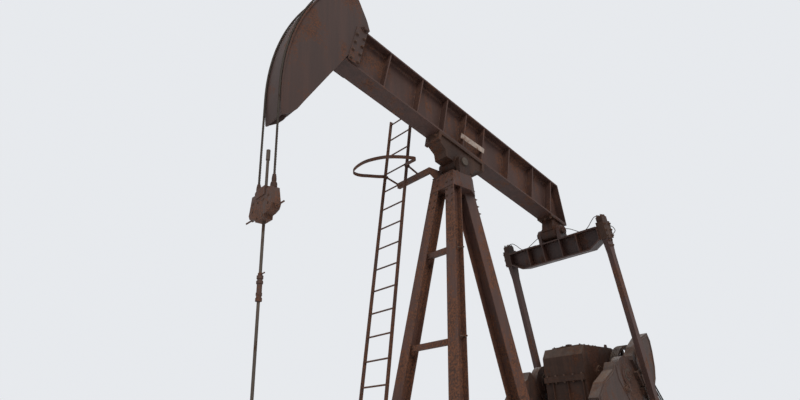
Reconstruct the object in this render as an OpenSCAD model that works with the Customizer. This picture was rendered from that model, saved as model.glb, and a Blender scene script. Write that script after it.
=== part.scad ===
// Pumpjack: a crank-balanced beam pumping unit, in millimetres.
// The origin is on the ground below the walking beam's pivot. +X points to the gearbox, +Z up.
// The horsehead is at -X. Left is -Y and right, the ladder's side, is +Y.

/* [Linkage] */
// Height of the walking beam's pivot above the ground
pivot_h = 4572; // [4450:1:4700]
// Pivot to the wireline, the radius of the horsehead's arc
head_arm = 2850; // [2800:1:2900]
// Pivot to the tail bearing, along the beam
tail_arm = 2307; // [2280:1:2330]
// Height of the tail bearing over the pivot, square to the beam
tail_rise = 57; // [45:1:70]
// Pivot to the crankshaft, level
crank_x = 2438; // [2400:1:2480]
// Height of the crankshaft over the place a pitman's length below the pivot
crank_rise = 311; // [270:1:350]
// Throw of the crank, shaft to wrist pin
crank_throw = 875; // [850:1:900]
// Length of a pitman, tail bearing to wrist pin
pitman_len = 3080; // [3050:1:3110]
// Slope of the walking beam as it stands, tail down, in degrees
beam_tilt = 14.4; // [10:0.1:16]

/* [Walking beam] */
// Depth of the beam
beam_depth = 658; // [600:1:700]
// Width of the beam's flanges
beam_w = 270; // [250:1:290]
// Thickness of the beam's flanges
flange_t = 25; // [16:1:32]
// Thickness of the beam's web
web_t = 16; // [12:1:24]
// Beam's underside over the pivot
beam_lift = 284; // [270:1:300]
// Front end of the beam ahead of the pivot
beam_front = 2150; // [2120:1:2180]
// Rear end of the beam's lower flange behind the tail bearing
beam_overhang = 229; // [200:1:260]
// How far the upper flange stops short of the lower one
beam_end_rake = 259; // [180:1:320]

/* [Horsehead] */
// Width of the curved face
face_w = 340; // [330:1:400]
// Thickness of the curved face
face_t = 20; // [12:1:30]
// Thickness of the side plates
head_side_t = 15; // [10:1:24]
// Arc of the face below the beam's own level, in degrees
face_low = 20.8; // [20:0.1:22]
// Arc of the face above the beam's own level, in degrees
face_high = 32.6; // [31:0.1:34]
// Diameter of the wireline
wire_d = 25; // [19:1:32]
// Spacing of the two wirelines
wire_spacing = 310; // [290:1:314]

/* [Samson post] */
// Forward place of the front legs' feet
front_foot_x = 1056; // [1000:1:1100]
// Side place of the front legs' feet
front_foot_y = 628; // [600:1:660]
// Side place of the front legs' tops
front_top_y = 142; // [130:1:160]
// Forward place of the front legs' tops
front_top_x = 212; // [190:1:230]
// Width of a front leg
front_leg_w = 150; // [130:1:170]
// Rearward place of the rear leg's foot
rear_foot_x = 1256; // [1200:1:1300]
// Rearward place of the rear leg's top
rear_top_x = 167; // [140:1:190]
// Width of the rear leg
rear_leg_w = 200; // [180:1:220]
// Steel thickness of the legs
leg_t = 11; // [8:1:16]
// Height of the lower brace between the front legs
brace_low = 2050; // [2000:1:2100]
// Height of the upper brace between the front legs
brace_high = 3200; // [3150:1:3250]
// Height of the post's cap
cap_h = 232; // [200:1:260]
// Cap's top below the pivot
cap_drop = 190; // [180:1:200]
// Radius of the pivot shaft
pivot_shaft_r = 60; // [50:1:70]

/* [Base] */
// Depth of the base beams
base_h = 250; // [220:1:280]
// Width of the base beams
base_w = 150; // [130:1:170]
// Side place of the two long rails
rail_y = 420; // [400:1:430]
// Rear end of the base
base_rear = 5000; // [4900:1:5100]
// Half the length of the front sill
front_sill_half = 1020; // [1000:1:1100]

/* [Ladder] */
// Distance between the stiles
ladder_w = 460; // [440:1:480]
// Side place of the ladder's middle
ladder_y = 740; // [740:1:760]
// Height of the highest rung
ladder_top = 5604; // [5590:1:5620]
// Rung spacing along the stiles
rung_pitch = 304.8; // [290:0.1:310]
// Diameter of a rung
rung_d = 22; // [18:1:28]
// Width of a stile
stile_w = 50; // [40:1:60]
// Lean of the ladder, in degrees
ladder_lean = 8.96; // [8.5:0.01:9.2]
// Height of the climber's hoop
hoop_h = 4660; // [4640:1:4720]

/* [Gearbox] */
// Half the width of the gearbox
gear_half = 330; // [310:1:340]
// Front wall ahead of the crankshaft
gear_front = 430; // [410:1:450]
// Input shaft behind the crankshaft
input_back = 642; // [625:1:660]
// Rear wall behind the input shaft
gear_back = 300; // [260:1:340]
// Depth of the gearbox below the crankshaft
gear_below = 550; // [520:1:580]
// Height of the gearbox over the crankshaft
gear_above = 440; // [410:1:470]
// Radius of the crankshaft
crankshaft_r = 85; // [75:1:90]
// Radius of the input shaft
input_r = 35; // [30:1:40]
// Radius of the large sheave
sheave_r = 480; // [450:1:490]
// Radius of the brake drum
drum_r = 230; // [200:1:260]

/* [Motor and belts] */
// Motor behind the pivot
motor_x = 4450; // [4400:1:4500]
// Height of the motor's shaft
motor_h = 700; // [680:1:740]
// Radius of the motor's body
motor_r = 200; // [180:1:215]
// Radius of the motor's sheave
motor_sheave_r = 120; // [100:1:140]
// Width of a belt
belt_w = 17; // [13:1:20]
// Thickness of a belt
belt_t = 12; // [9:1:14]
// Spacing of the belts
belt_pitch = 28; // [24:1:30]
// Number of belts
belt_count = 4; // [3:1:4]

/* [Cranks] */
// Thickness of a crank arm
crank_t = 120; // [100:1:130]
// Width of a crank arm
crank_w = 440; // [400:1:460]
// Radius of a crank's heel, round the shaft
crank_heel = 255; // [240:1:280]
// Crank arm ahead of the shaft
crank_reach = 1450; // [1420:1:1480]
// Inner face of the crank arms from the middle
crank_in = 600; // [590:1:610]
// Thickness of a counterweight
weight_t = 140; // [120:1:150]
// Spacing of the wrist pin holes
pin_pitch = 150; // [130:1:170]

/* [Equalizer and pitmans] */
// Side place of the pitmans
pitman_y = 875; // [865:1:890]
// Thickness of a pitman
pitman_t = 75; // [65:1:80]
// Width of a pitman
pitman_w = 110; // [100:1:130]
// Radius of the wrist bearing
wrist_r = 150; // [135:1:160]
// Depth of the equalizer
equalizer_depth = 315; // [290:1:340]
// Width of the equalizer
equalizer_w = 240; // [220:1:260]
// Radius of the tail shaft
tail_shaft_r = 50; // [45:1:60]

/* [Carrier and rod] */
// Height of the carrier bar's top
carrier_top = 3400; // [3350:1:3450]
// Depth of the carrier bar
carrier_depth = 300; // [260:1:320]
// Length of the carrier bar
carrier_len = 460; // [440:1:500]
// Diameter of the polished rod
rod_d = 30; // [26:1:38]
// Height of the polished rod's top
rod_top = 3880; // [3830:1:3930]
// Height of the polished rod's lower end
rod_bottom = 1400; // [1300:1:1450]
// Diameter of the pin on the rod's lower end
rod_pin_d = 23; // [20:1:26]
// Length of the pin on the rod's lower end
rod_pin_len = 45; // [30:1:60]

/* [Clearances] */
// Running clearance round a turning shaft
run_gap = 0.05; // [0.02:0.01:0.09]
// Gap between pieces that nearly touch
near_gap = 0.3; // [0.2:0.1:0.6]
// Gap between the ends of the wires on the head and below it, which pass as the head turns
wire_gap = 1; // [0.8:0.1:3]
// Side clearance between things that pass each other
pass_gap = 12; // [8:1:20]

/* [Hidden] */
$fn = 64;
steel_t = 20;
plate_t = 30;

crank_h = pivot_h - pitman_len + crank_rise;
cap_top = pivot_h - cap_drop;
cap_bottom = cap_top - cap_h;
foot_plate_t = 25;
foot_top = base_h + foot_plate_t;

tail_x = tail_arm * cos(beam_tilt) + tail_rise * sin(beam_tilt);
tail_z = pivot_h - tail_arm * sin(beam_tilt) + tail_rise * cos(beam_tilt);
reach_x = crank_x - tail_x;
reach_z = crank_h - tail_z;
reach = norm([reach_x, reach_z]);
pitman_turn = acos((pitman_len * pitman_len + reach * reach - crank_throw * crank_throw)
    / (2 * pitman_len * reach));
pitman_dir = atan2(reach_z, reach_x) + pitman_turn;
wrist_x = tail_x + pitman_len * cos(pitman_dir);
wrist_z = tail_z + pitman_len * sin(pitman_dir);
pitman_lean = 90 + pitman_dir;
crank_angle = atan2(crank_h - wrist_z, wrist_x - crank_x);

wire_r = wire_d / 2;
face_r = head_arm - wire_r - near_gap;
anchor_t = 70;
anchor_angle = face_high - 1.3;
wire_high = anchor_angle - atan(anchor_t / 2 / face_r);

ladder_step = rung_pitch * cos(ladder_lean);
ladder_slope = tan(ladder_lean);
rung_count = floor((ladder_top - base_h - 100) / ladder_step) + 1;
ladder_top_x = -284.5;
hub_side = 40;
sheave_w = belt_count * belt_pitch + 12;
sheave_in = gear_half + hub_side;
sheave_y = -(sheave_in + sheave_w / 2);
input_x = crank_x + input_back;
belt_r = sheave_r - 4 - belt_t;
belt_small_r = motor_sheave_r - 4 - belt_t;

iron = [0.23, 0.13, 0.09];
dark = [0.15, 0.10, 0.08];
rusty = [0.33, 0.17, 0.10];
bright = [0.45, 0.42, 0.38];
rubber = [0.05, 0.05, 0.05];

// Helpers

module in_beam() {
    translate([0, 0, pivot_h]) rotate([0, beam_tilt, 0]) children();
}

module in_pitman() {
    translate([tail_x, 0, tail_z]) rotate([0, -pitman_lean, 0]) children();
}

module in_crank() {
    translate([crank_x, 0, crank_h]) rotate([0, crank_angle, 0]) children();
}

// A flat shape drawn in X and Z, given a thickness in Y about the place y
module upright(y, t) {
    translate([0, y, 0]) rotate([90, 0, 0]) linear_extrude(t, center = true) children();
}

// A flat shape drawn in Y and Z, given a thickness in X about the place x
module crosswise(x, t) {
    translate([x, 0, 0]) rotate([90, 0, 90]) linear_extrude(t, center = true) children();
}

module shaft_y(r, y0, y1) {
    translate([0, y0, 0]) rotate([-90, 0, 0]) cylinder(h = y1 - y0, r = r);
}

module both_sides() {
    children();
    mirror([0, 1, 0]) children();
}

// Places its children at p, with their +Z pointing to q and their X kept level
module along(p, q) {
    d = q - p;
    turn = atan2(d[1], d[0]);
    translate(p) rotate([0, acos(d[2] / norm(d)), turn]) rotate([0, 0, -turn]) children();
}

module bar(p, q, d) {
    along(p, q) cylinder(h = norm(q - p), d = d);
}

// Cross-section of a rolled beam: width across x, depth across y
module i_section(w, depth, t) {
    square([t, depth], center = true);
    translate([-w / 2, depth / 2 - t]) square([w, t]);
    translate([-w / 2, -depth / 2]) square([w, t]);
}

module i_beam_x(x0, x1, y) {
    translate([x0, y, base_h / 2]) rotate([90, 0, 90])
        linear_extrude(x1 - x0) i_section(base_w, base_h, leg_t);
}

module i_beam_y(y0, y1, x) {
    translate([x, y1, base_h / 2]) rotate([90, 0, 0])
        linear_extrude(y1 - y0) i_section(base_w, base_h, leg_t);
}

// Base

module base_frame() {
    rail_inner = rail_y - base_w / 2;
    color(iron) {
        for (y = [-rail_y, rail_y]) {
            i_beam_x(base_w / 2 - front_foot_x, base_rear - base_w / 2, y);
        }
        i_beam_y(-front_sill_half, front_sill_half, -front_foot_x);
        i_beam_y(-rail_y - base_w / 2, rail_y + base_w / 2, base_rear);
        for (x = [0, rear_foot_x, crank_x + 50, motor_x - 200]) {
            i_beam_y(-rail_inner, rail_inner, x);
        }
    }
}

// Samson post

module leg_cut(z0, z1) {
    intersection() {
        children();
        translate([-3000, -3000, z0]) cube([6000, 6000, z1 - z0]);
    }
}

module foot_plate(x, y, w, d) {
    translate([x - w / 2, y - d / 2, base_h]) cube([w, d, foot_plate_t]);
}

module front_leg() {
    foot = [-front_foot_x, front_foot_y, 0];
    top = [-front_top_x, front_top_y, cap_bottom];
    way = (top - foot) * 0.05;
    leg_cut(foot_top, cap_bottom) {
        along(foot - way, top + way) linear_extrude(norm(top - foot + 2 * way))
            rotate(90) i_section(front_leg_w, front_leg_w, leg_t);
    }
    foot_plate(-front_foot_x, front_foot_y, base_w, 200);
}

module front_legs() {
    color(rusty) both_sides() front_leg();
}

module rear_leg() {
    foot = [rear_foot_x, 0, 0];
    top = [rear_top_x, 0, cap_bottom];
    way = (top - foot) * 0.05;
    color(rusty) {
        leg_cut(foot_top, cap_bottom) {
            along(foot - way, top + way) linear_extrude(norm(top - foot + 2 * way))
                i_section(rear_leg_w, rear_leg_w, leg_t);
        }
        foot_plate(rear_foot_x, 0, base_w, 300);
    }
}

// Inner side of a front leg, and its place fore and aft, at the height z
function leg_share(z) = z / cap_bottom;
function leg_x(z) = -front_foot_x + (front_foot_x - front_top_x) * leg_share(z);
function leg_y(z) = front_foot_y - (front_foot_y - front_top_y) * leg_share(z);

module leg_braces() {
    brace_w = 65;
    brace_t = 8;
    color(rusty) {
        for (z = [brace_low, brace_high]) {
            half = leg_y(z + brace_w) - leg_t / 2 - near_gap;
            translate([leg_x(z) - brace_w / 2, -half, z]) {
                cube([brace_w, 2 * half, brace_t]);
                cube([brace_t, 2 * half, brace_w]);
            }
        }
    }
}

// Front, rear and side of the post's head at the height z, in line with the legs
function head_front(z) = leg_x(z) - front_leg_w / 2 - 2;
function head_rear(z) = rear_foot_x + (rear_top_x - rear_foot_x) * leg_share(z) + rear_leg_w / 2 + 3;
function head_side(z) = leg_y(z) + front_leg_w / 2 + 2;

module post_cap() {
    wide = 2 * head_side(cap_bottom);
    rear = head_rear(cap_bottom) + 5;
    color(rusty) intersection() {
        upright(0, wide) polygon([[head_front(cap_bottom), cap_bottom], [head_rear(cap_bottom), cap_bottom],
            [head_rear(cap_top), cap_top], [head_front(cap_top), cap_top]]);
        crosswise(0, 4 * wide) polygon([[-head_side(cap_bottom), cap_bottom],
            [head_side(cap_bottom), cap_bottom], [head_side(cap_top), cap_top],
            [-head_side(cap_top), cap_top]]);
        translate([0, 0, cap_bottom]) linear_extrude(cap_h) polygon([[-400, -wide / 2], [-400, wide / 2],
            [62, wide / 2], [rear, rear_leg_w / 2 + 5], [rear, -rear_leg_w / 2 - 5], [62, -wide / 2]]);
    }
}

// Pivot

saddle_half = 120;
block_w = 60;
block_in = saddle_half + pass_gap;

module saddle_blocks() {
    color(dark) both_sides() {
        difference() {
            upright(block_in + block_w / 2, block_w) {
                circle_r = pivot_shaft_r + 45;
                translate([0, pivot_h]) circle(circle_r);
                translate([-circle_r, cap_top]) square([2 * circle_r, cap_drop]);
            }
            translate([0, 0, pivot_h]) shaft_y(pivot_shaft_r + run_gap, 0, 1000);
        }
    }
}

module saddle_shaft() {
    color(bright) translate([0, 0, pivot_h])
        shaft_y(pivot_shaft_r, -block_in - block_w - 20, block_in + block_w + 20);
}

module center_bearing() {
    barrel_r = pivot_shaft_r + 65;
    saddle_len = 840;
    saddle_t = 40;
    color(dark) in_beam() difference() {
        union() {
            shaft_y(barrel_r, -saddle_half, saddle_half);
            translate([-saddle_len / 2, -beam_w / 2, beam_lift - saddle_t])
                cube([saddle_len, beam_w, saddle_t]);
            upright(0, 2 * saddle_half - 20) polygon([[-262, -25], [262, -25], [300, 75],
                [430, beam_lift - 148], [430, beam_lift - 10], [-430, beam_lift - 10],
                [-430, beam_lift - 148], [-300, 75]]);
            for (x = [-saddle_len / 2 - 50, saddle_len / 2]) {
                translate([x, -beam_w / 2, beam_lift - 150]) cube([50, beam_w, 150]);
            }
        }
        shaft_y(pivot_shaft_r + run_gap, -1000, 1000);
    }
}

// Ladder

function ladder_x(z) = ladder_top_x - (ladder_top - z) * ladder_slope;
stile_t = 12;
stile_end = 60;

module ladder_stiles() {
    color(iron) {
        for (side = [-1, 1]) {
            y = ladder_y + side * (ladder_w / 2 + stile_t / 2);
            z1 = ladder_top + stile_end;
            upright(y, stile_t) polygon([
                [ladder_x(base_h) - stile_w / 2, base_h], [ladder_x(base_h) + stile_w / 2, base_h],
                [ladder_x(z1) + stile_w / 2, z1], [ladder_x(z1) - stile_w / 2, z1]]);
        }
    }
}

module ladder_rungs() {
    color(iron) {
        for (i = [0:rung_count - 1]) {
            z = ladder_top - i * ladder_step;
            translate([ladder_x(z), 0, z])
                shaft_y(rung_d / 2, ladder_y - ladder_w / 2, ladder_y + ladder_w / 2);
        }
    }
}

hoop_w = 50;
hoop_t = 8;
hoop_part = 4;

// Places on the hoop's bent bar in X and Y, from the middle of the ladder's front face. It starts
// on one stile and its near side is bent further out than its far side, then turns back sharply.
stile_mid = ladder_w / 2 + stile_t / 2;
hoop_bar = [[-4, stile_mid], [-70, stile_mid + 48], [-180, 342], [-300, 405], [-400, 410],
    [-470, 355], [-512, 210], [-512, 35], [-458, -120], [-364, -265], [-201, -390], [-60, -462]];
hoop_turn = [[-60, -462], [-34, -469], [-20, -470], [-10, -465], [-4, -454], [-4, -440],
    [-4, -stile_mid]];

// Point at the share s of the way from q to r, on the smooth curve through o, q, r and u
function smooth(o, q, r, u, s) = 0.5 * (2 * q + (r - o) * s + (2 * o - 5 * q + 4 * r - u) * s * s
    + (3 * q - o - 3 * r + u) * s * s * s);

function fine(line) = [for (i = [0:len(line) - 2]) for (k = [0:hoop_part - 1])
    smooth(line[max(i - 1, 0)], line[i], line[i + 1], line[min(i + 2, len(line) - 1)], k / hoop_part)];

// Unit vector square to the line at its point i
function across(line, i) = let (d = line[min(i + 1, len(line) - 1)] - line[max(i - 1, 0)])
    [-d[1], d[0]] / norm(d);

module flat_bar(line, t) {
    last = len(line) - 1;
    polygon(concat([for (i = [0:last]) line[i] + across(line, i) * t / 2],
        [for (i = [last:-1:0]) line[i] - across(line, i) * t / 2]));
}

module ladder_hoop() {
    stile_face = stile_w / 2 + stile_w / 2 * 0.2;
    back_x = ladder_x(hoop_h) - stile_face;
    pad_t = hoop_t + stile_face - stile_w / 2 - hoop_w / 2 * ladder_slope;
    color(iron) translate([back_x, ladder_y, hoop_h - hoop_w / 2]) linear_extrude(hoop_w) {
        flat_bar(concat(fine(hoop_bar), hoop_turn), hoop_t);
        for (side = [-1, 1]) {
            translate([-hoop_t, side * stile_mid - stile_t / 2]) square([pad_t, stile_t]);
        }
    }
}

module ladder_arm() {
    arm_w = 50;
    arm_h = 80;
    arm_x = head_front(cap_bottom) - 51;
    arm_y = beam_w / 2 + pass_gap + 5;
    arm_z = cap_top + 63;
    arm_end = ladder_y + 80;
    pad_x = ladder_x(hoop_h) + stile_w / 2 + hoop_w / 2 * ladder_slope;
    color(iron) {
        translate([arm_x, arm_y, arm_z]) cube([arm_w, arm_end - arm_y, arm_h]);
        upright(arm_y + 10, 20) polygon([[arm_x, arm_z], [head_front(cap_top), cap_top], [-120, cap_top],
            [-120, arm_z + arm_h], [arm_x, arm_z + arm_h]]);
        for (side = [-1, 1]) {
            y = ladder_y + side * (ladder_w / 2 + stile_t / 2);
            y_low = side < 0 ? ladder_y - ladder_w / 2 - 140 : arm_end - 30;
            translate([pad_x, y - 20, hoop_h - 20]) cube([12, 40, 40]);
            bar([pad_x + 12, y, hoop_h], [arm_x + arm_w / 2, y_low, arm_z + arm_h / 2], 28);
        }
    }
}

// Gearbox

gear_x0 = crank_x - gear_front;
gear_x1 = crank_x + input_back + gear_back;
gear_bottom = crank_h - gear_below;
flange_out = 35;

module gear_bores() {
    translate([crank_x, 0, crank_h]) shaft_y(crankshaft_r + run_gap, -2000, 2000);
    translate([input_x, 0, crank_h]) shaft_y(input_r + run_gap, -2000, 2000);
}

module gearbox_stand() {
    wall_t = 20;
    half = rail_y - base_w / 2;
    height = gear_bottom - base_h;
    gusset_w = sheave_in - half;
    color(iron) {
        difference() {
            translate([gear_x0 - 40, -half, base_h])
                cube([gear_x1 - gear_x0 + 80, 2 * half, height]);
            translate([gear_x0 - 40 + wall_t, -half + wall_t, base_h + wall_t])
                cube([gear_x1 - gear_x0 + 80 - 2 * wall_t, 2 * half - 2 * wall_t,
                    height - 2 * wall_t]);
        }
        translate([gear_x0 - 60, -rail_y, base_h])
            cube([gear_x1 - gear_x0 + 120, 2 * rail_y, wall_t]);
        for (x = [gear_x0, crank_x, input_x - 60, gear_x1 - 20]) {
            both_sides() translate([x, half, base_h]) cube([wall_t, gusset_w, height]);
        }
    }
}

module gearbox_case() {
    color(dark) difference() {
        union() {
            translate([gear_x0, -gear_half, gear_bottom])
                cube([gear_x1 - gear_x0, 2 * gear_half, gear_below]);
            translate([gear_x0 - flange_out, -gear_half, crank_h - 40])
                cube([gear_x1 - gear_x0 + 2 * flange_out, 2 * gear_half, 40]);
            translate([gear_x0 - flange_out, -gear_half, gear_bottom])
                cube([gear_x1 - gear_x0 + 2 * flange_out, 2 * gear_half, 40]);
        }
        gear_bores();
    }
}

module gearbox_cover() {
    top_z = crank_h + gear_above;
    color(dark) difference() {
        union() {
            upright(0, 2 * gear_half) polygon([[gear_x0, crank_h], [gear_x1, crank_h],
                [gear_x1, crank_h + 210], [gear_x1 - 150, crank_h + 330],
                [crank_x + 420, top_z], [gear_x0 + 90, top_z], [gear_x0, top_z - 130]]);
            translate([gear_x0 - flange_out, -gear_half, crank_h])
                cube([gear_x1 - gear_x0 + 2 * flange_out, 2 * gear_half, 40]);
            translate([gear_x0 + 150, -gear_half + 90, top_z])
                cube([480, 2 * gear_half - 180, 22]);
            translate([gear_x0 + 230, 0, top_z]) cylinder(h = 50, r = 30);
            translate([gear_x0 + 560, -90, top_z]) cylinder(h = 40, r = 22);
        }
        gear_bores();
    }
}

module bearing_caps() {
    cap_t = 28;
    color(iron) both_sides() {
        difference() {
            translate([crank_x, 0, crank_h]) shaft_y(170, gear_half, gear_half + cap_t);
            gear_bores();
        }
        difference() {
            translate([input_x, 0, crank_h]) shaft_y(95, gear_half, gear_half + cap_t);
            gear_bores();
        }
        translate([crank_x + 330, 0, crank_h]) shaft_y(120, gear_half, gear_half + cap_t);
    }
}

module input_shaft() {
    color(bright) translate([input_x, 0, crank_h])
        shaft_y(input_r, sheave_y - sheave_w / 2 - 8, sheave_in + 110);
}

module grooves(r) {
    for (i = [0:belt_count - 1]) {
        y = (i - (belt_count - 1) / 2) * belt_pitch;
        translate([0, y - belt_w / 2 - near_gap, 0]) rotate([-90, 0, 0]) difference() {
            cylinder(h = belt_w + 2 * near_gap, r = r + 50);
            translate([0, 0, -1]) cylinder(h = belt_w + 2, r = r - near_gap);
        }
    }
}

module sheave() {
    rim_t = 40;
    color(iron) translate([input_x, sheave_y, crank_h]) {
        difference() {
            shaft_y(sheave_r, -sheave_w / 2, sheave_w / 2);
            shaft_y(sheave_r - rim_t, -sheave_w, sheave_w);
            grooves(belt_r);
        }
        difference() {
            union() {
                shaft_y(85, -sheave_w / 2, sheave_w / 2);
                for (a = [0:60:300]) {
                    rotate([0, a + 15, 0]) translate([60, -18, -32])
                        cube([sheave_r - rim_t - 58, 36, 64]);
                }
            }
            shaft_y(input_r + run_gap, -sheave_w, sheave_w);
        }
    }
}

module brake_drum() {
    drum_w = 100;
    color(iron) translate([input_x, sheave_in, crank_h]) difference() {
        union() {
            difference() {
                shaft_y(drum_r, 0, drum_w);
                shaft_y(drum_r - 18, 22, drum_w + 1);
            }
            shaft_y(70, 0, drum_w);
        }
        shaft_y(input_r + run_gap, -1, drum_w + 1);
    }
}

module brake_band() {
    band_w = 70;
    band_t = 8;
    color(rusty) translate([input_x, sheave_in + 15, crank_h]) {
        difference() {
            shaft_y(drum_r + near_gap + band_t, 0, band_w);
            shaft_y(drum_r + near_gap, -1, band_w + 1);
            translate([-30, -1, 0]) cube([60, band_w + 2, drum_r * 2]);
        }
        for (x = [-60, 38]) {
            translate([x, 0, drum_r - 2]) cube([22, band_w, 60]);
        }
        translate([drum_r + 5, 10, -40]) cube([20, 50, 80]);
        translate([drum_r + 5, 10 - hub_side - 15 - 10, -40]) cube([20, 65, 80]);
    }
}

// Motor and belts

module motor_stand() {
    color(iron) {
        for (y = [-1, 1]) {
            translate([motor_x - 300, y * rail_y - 60, base_h])
                cube([600, 120, 40]);
        }
        for (x = [-220, 160]) {
            translate([motor_x + x, -rail_y - 60, base_h + 40])
                cube([60, 2 * rail_y + 120, motor_h - motor_r - 60 - base_h - 40]);
        }
    }
}

module motor() {
    body_y0 = -230;
    body_y1 = 300;
    fin_count = 32;
    color(dark) translate([motor_x, 0, motor_h]) {
        shaft_y(motor_r - 20, body_y0, body_y1);
        for (i = [0:fin_count - 1]) {
            rotate([0, i * 360 / fin_count, 0]) translate([motor_r / 2, body_y0 + 45, -3])
                cube([motor_r / 2 - 4, body_y1 - body_y0 - 90, 6]);
        }
        shaft_y(motor_r, body_y0 + 10, body_y0 + 50);
        shaft_y(motor_r, body_y1 - 50, body_y1);
        shaft_y(28, sheave_y - sheave_w / 2 - 8, body_y0);
        for (y = [body_y0 + 70, body_y1 - 130]) {
            translate([-200, y, -motor_r - 60]) cube([400, 60, 30]);
            translate([-130, y, -motor_r - 60]) cube([260, 60, motor_r - 40]);
        }
        translate([60, -70, motor_r - 60]) cube([120, 160, 110]);
    }
}

module motor_sheave() {
    color(iron) translate([motor_x, sheave_y, motor_h]) difference() {
        shaft_y(motor_sheave_r, -sheave_w / 2, sheave_w / 2);
        grooves(belt_small_r);
        shaft_y(28 + run_gap, -sheave_w, sheave_w);
    }
}

belt_run = [motor_x - input_x, motor_h - crank_h];
belt_dir = atan2(belt_run[1], belt_run[0]);
belt_steps = 60;

// Outline of a loop round both sheaves, at the given radii
function loop_points(r1, r2) = let (spread = acos((r1 - r2) / norm(belt_run))) concat(
    [for (i = [0:belt_steps]) let (a = belt_dir + spread + (360 - 2 * spread) * i / belt_steps)
        [r1 * cos(a), r1 * sin(a)]],
    [for (i = [0:belt_steps]) let (a = belt_dir - spread + 2 * spread * i / belt_steps)
        [belt_run[0] + r2 * cos(a), belt_run[1] + r2 * sin(a)]]);

module belts() {
    color(rubber) {
        for (i = [0:belt_count - 1]) {
            y = sheave_y + (i - (belt_count - 1) / 2) * belt_pitch;
            translate([input_x, 0, crank_h]) upright(y, belt_w) difference() {
                polygon(loop_points(belt_r + belt_t, belt_small_r + belt_t));
                polygon(loop_points(belt_r, belt_small_r));
            }
        }
    }
}

// Walking beam

beam_top = beam_lift + beam_depth;
lower_rear = tail_arm + beam_overhang;
upper_rear = lower_rear - beam_end_rake;

// Rear end of the beam at the height v in its own frame
function rake_x(v) = lower_rear - beam_end_rake * (v - beam_lift) / beam_depth;

module walking_beam() {
    half = beam_w / 2;
    color(iron) in_beam() {
        upright(0, web_t) polygon([[-beam_front, beam_lift], [lower_rear, beam_lift],
            [upper_rear, beam_top], [-beam_front, beam_top]]);
        upright(0, beam_w) {
            difference() {
                polygon([[-beam_front, beam_lift], [lower_rear, beam_lift],
                    [upper_rear, beam_top], [-beam_front, beam_top]]);
                polygon([[-beam_front + steel_t, beam_lift + flange_t],
                    [rake_x(beam_lift + flange_t) - steel_t, beam_lift + flange_t],
                    [rake_x(beam_top - flange_t) - steel_t, beam_top - flange_t],
                    [-beam_front + steel_t, beam_top - flange_t]]);
            }
        }
        for (x = [-1500, -900, -400, 0, 400, 1000, 1600, tail_arm - 220]) {
            translate([x, -half + 8, beam_lift + flange_t / 2])
                cube([steel_t, beam_w - 16, beam_depth - flange_t]);
        }
    }
}

module tail_bearing() {
    barrel_r = tail_shaft_r + 58;
    neck = 240;
    color(dark) in_beam() difference() {
        union() {
            translate([tail_arm, 0, tail_rise]) shaft_y(barrel_r, -tail_half, tail_half);
            translate([tail_arm - neck / 2, -100, tail_rise])
                cube([neck, 200, beam_lift - tail_rise]);
            translate([tail_arm - 200, -beam_w / 2, beam_lift - plate_t])
                cube([360, beam_w, plate_t]);
        }
        translate([tail_arm, 0, tail_rise]) shaft_y(tail_shaft_r + run_gap, -1000, 1000);
    }
}

// Horsehead

tip_u = -(face_r - face_t) * cos(face_low);
tip_v = -(face_r - face_t) * sin(face_low);
crown_u = -face_r * cos(face_high);
crown_v = face_r * sin(face_high);

// Outline of a side plate, reaching past the arc at the front
head_points = [[-head_arm - 300, tip_v - 100], [tip_u - 93, tip_v - 100], [tip_u + 93, tip_v + 100],
    [-head_arm + 353, -822], [-head_arm + 399, -677], [-2230, -17],
    [-beam_front + 20, beam_lift], [-beam_front + 229, beam_top - 20],
    [-beam_front + 248, beam_top + 40], [-beam_front + 164, beam_top + 176],
    [-beam_front - 29, beam_top + 407], [crown_u, crown_v], [crown_u * 1.1, crown_v * 1.1],
    [-head_arm - 300, crown_v + 300]];

module head_sides() {
    color(rusty) in_beam() both_sides() {
        upright(beam_w / 2 + head_side_t / 2, head_side_t) intersection() {
            circle(face_r - face_t - near_gap, $fn = 180);
            polygon(head_points);
        }
    }
}

// A piece of ring about the pivot, its section drawn as x out along the radius and y across
module pivot_ring(a0, a1) {
    rotate([90, 0, 0]) rotate([0, 0, 180 - a1]) rotate_extrude(angle = a1 - a0, $fn = 180)
        children();
}

module head_face() {
    color(rusty) in_beam() pivot_ring(-face_low, face_high)
        translate([face_r - face_t, -face_w / 2]) square([face_t, face_w]);
}

module head_ribs() {
    rib_t = 12;
    ribs = [[-17, 2590], [-8, 2400], [3, 2210], [14, 2240], [24, 2380], [30, 2560]];
    color(rusty) in_beam() {
        for (r = ribs) {
            rotate([0, r[0], 0]) translate([-(face_r - face_t) + near_gap, -beam_w / 2, -rib_t / 2])
                cube([face_r - face_t - r[1], beam_w, rib_t]);
        }
    }
}

module wire_anchor() {
    color(iron) in_beam() rotate([0, anchor_angle, 0])
        translate([-face_r - 60, -face_w / 2, -anchor_t / 2]) cube([60, face_w, anchor_t]);
}

module wire_wrap() {
    color(bright) in_beam() {
        for (y = [-1, 1]) {
            pivot_ring(-beam_tilt, wire_high)
                translate([head_arm, y * wire_spacing / 2]) circle(wire_r, $fn = 32);
        }
    }
}

// Equalizer and pitmans

lug_drop = 125;
equalizer_half = pitman_y - 60;
block_len = 120;
block_low = 330;
tail_half = 130;
lug_in = tail_half + pass_gap;
lug_t = 58;

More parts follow.
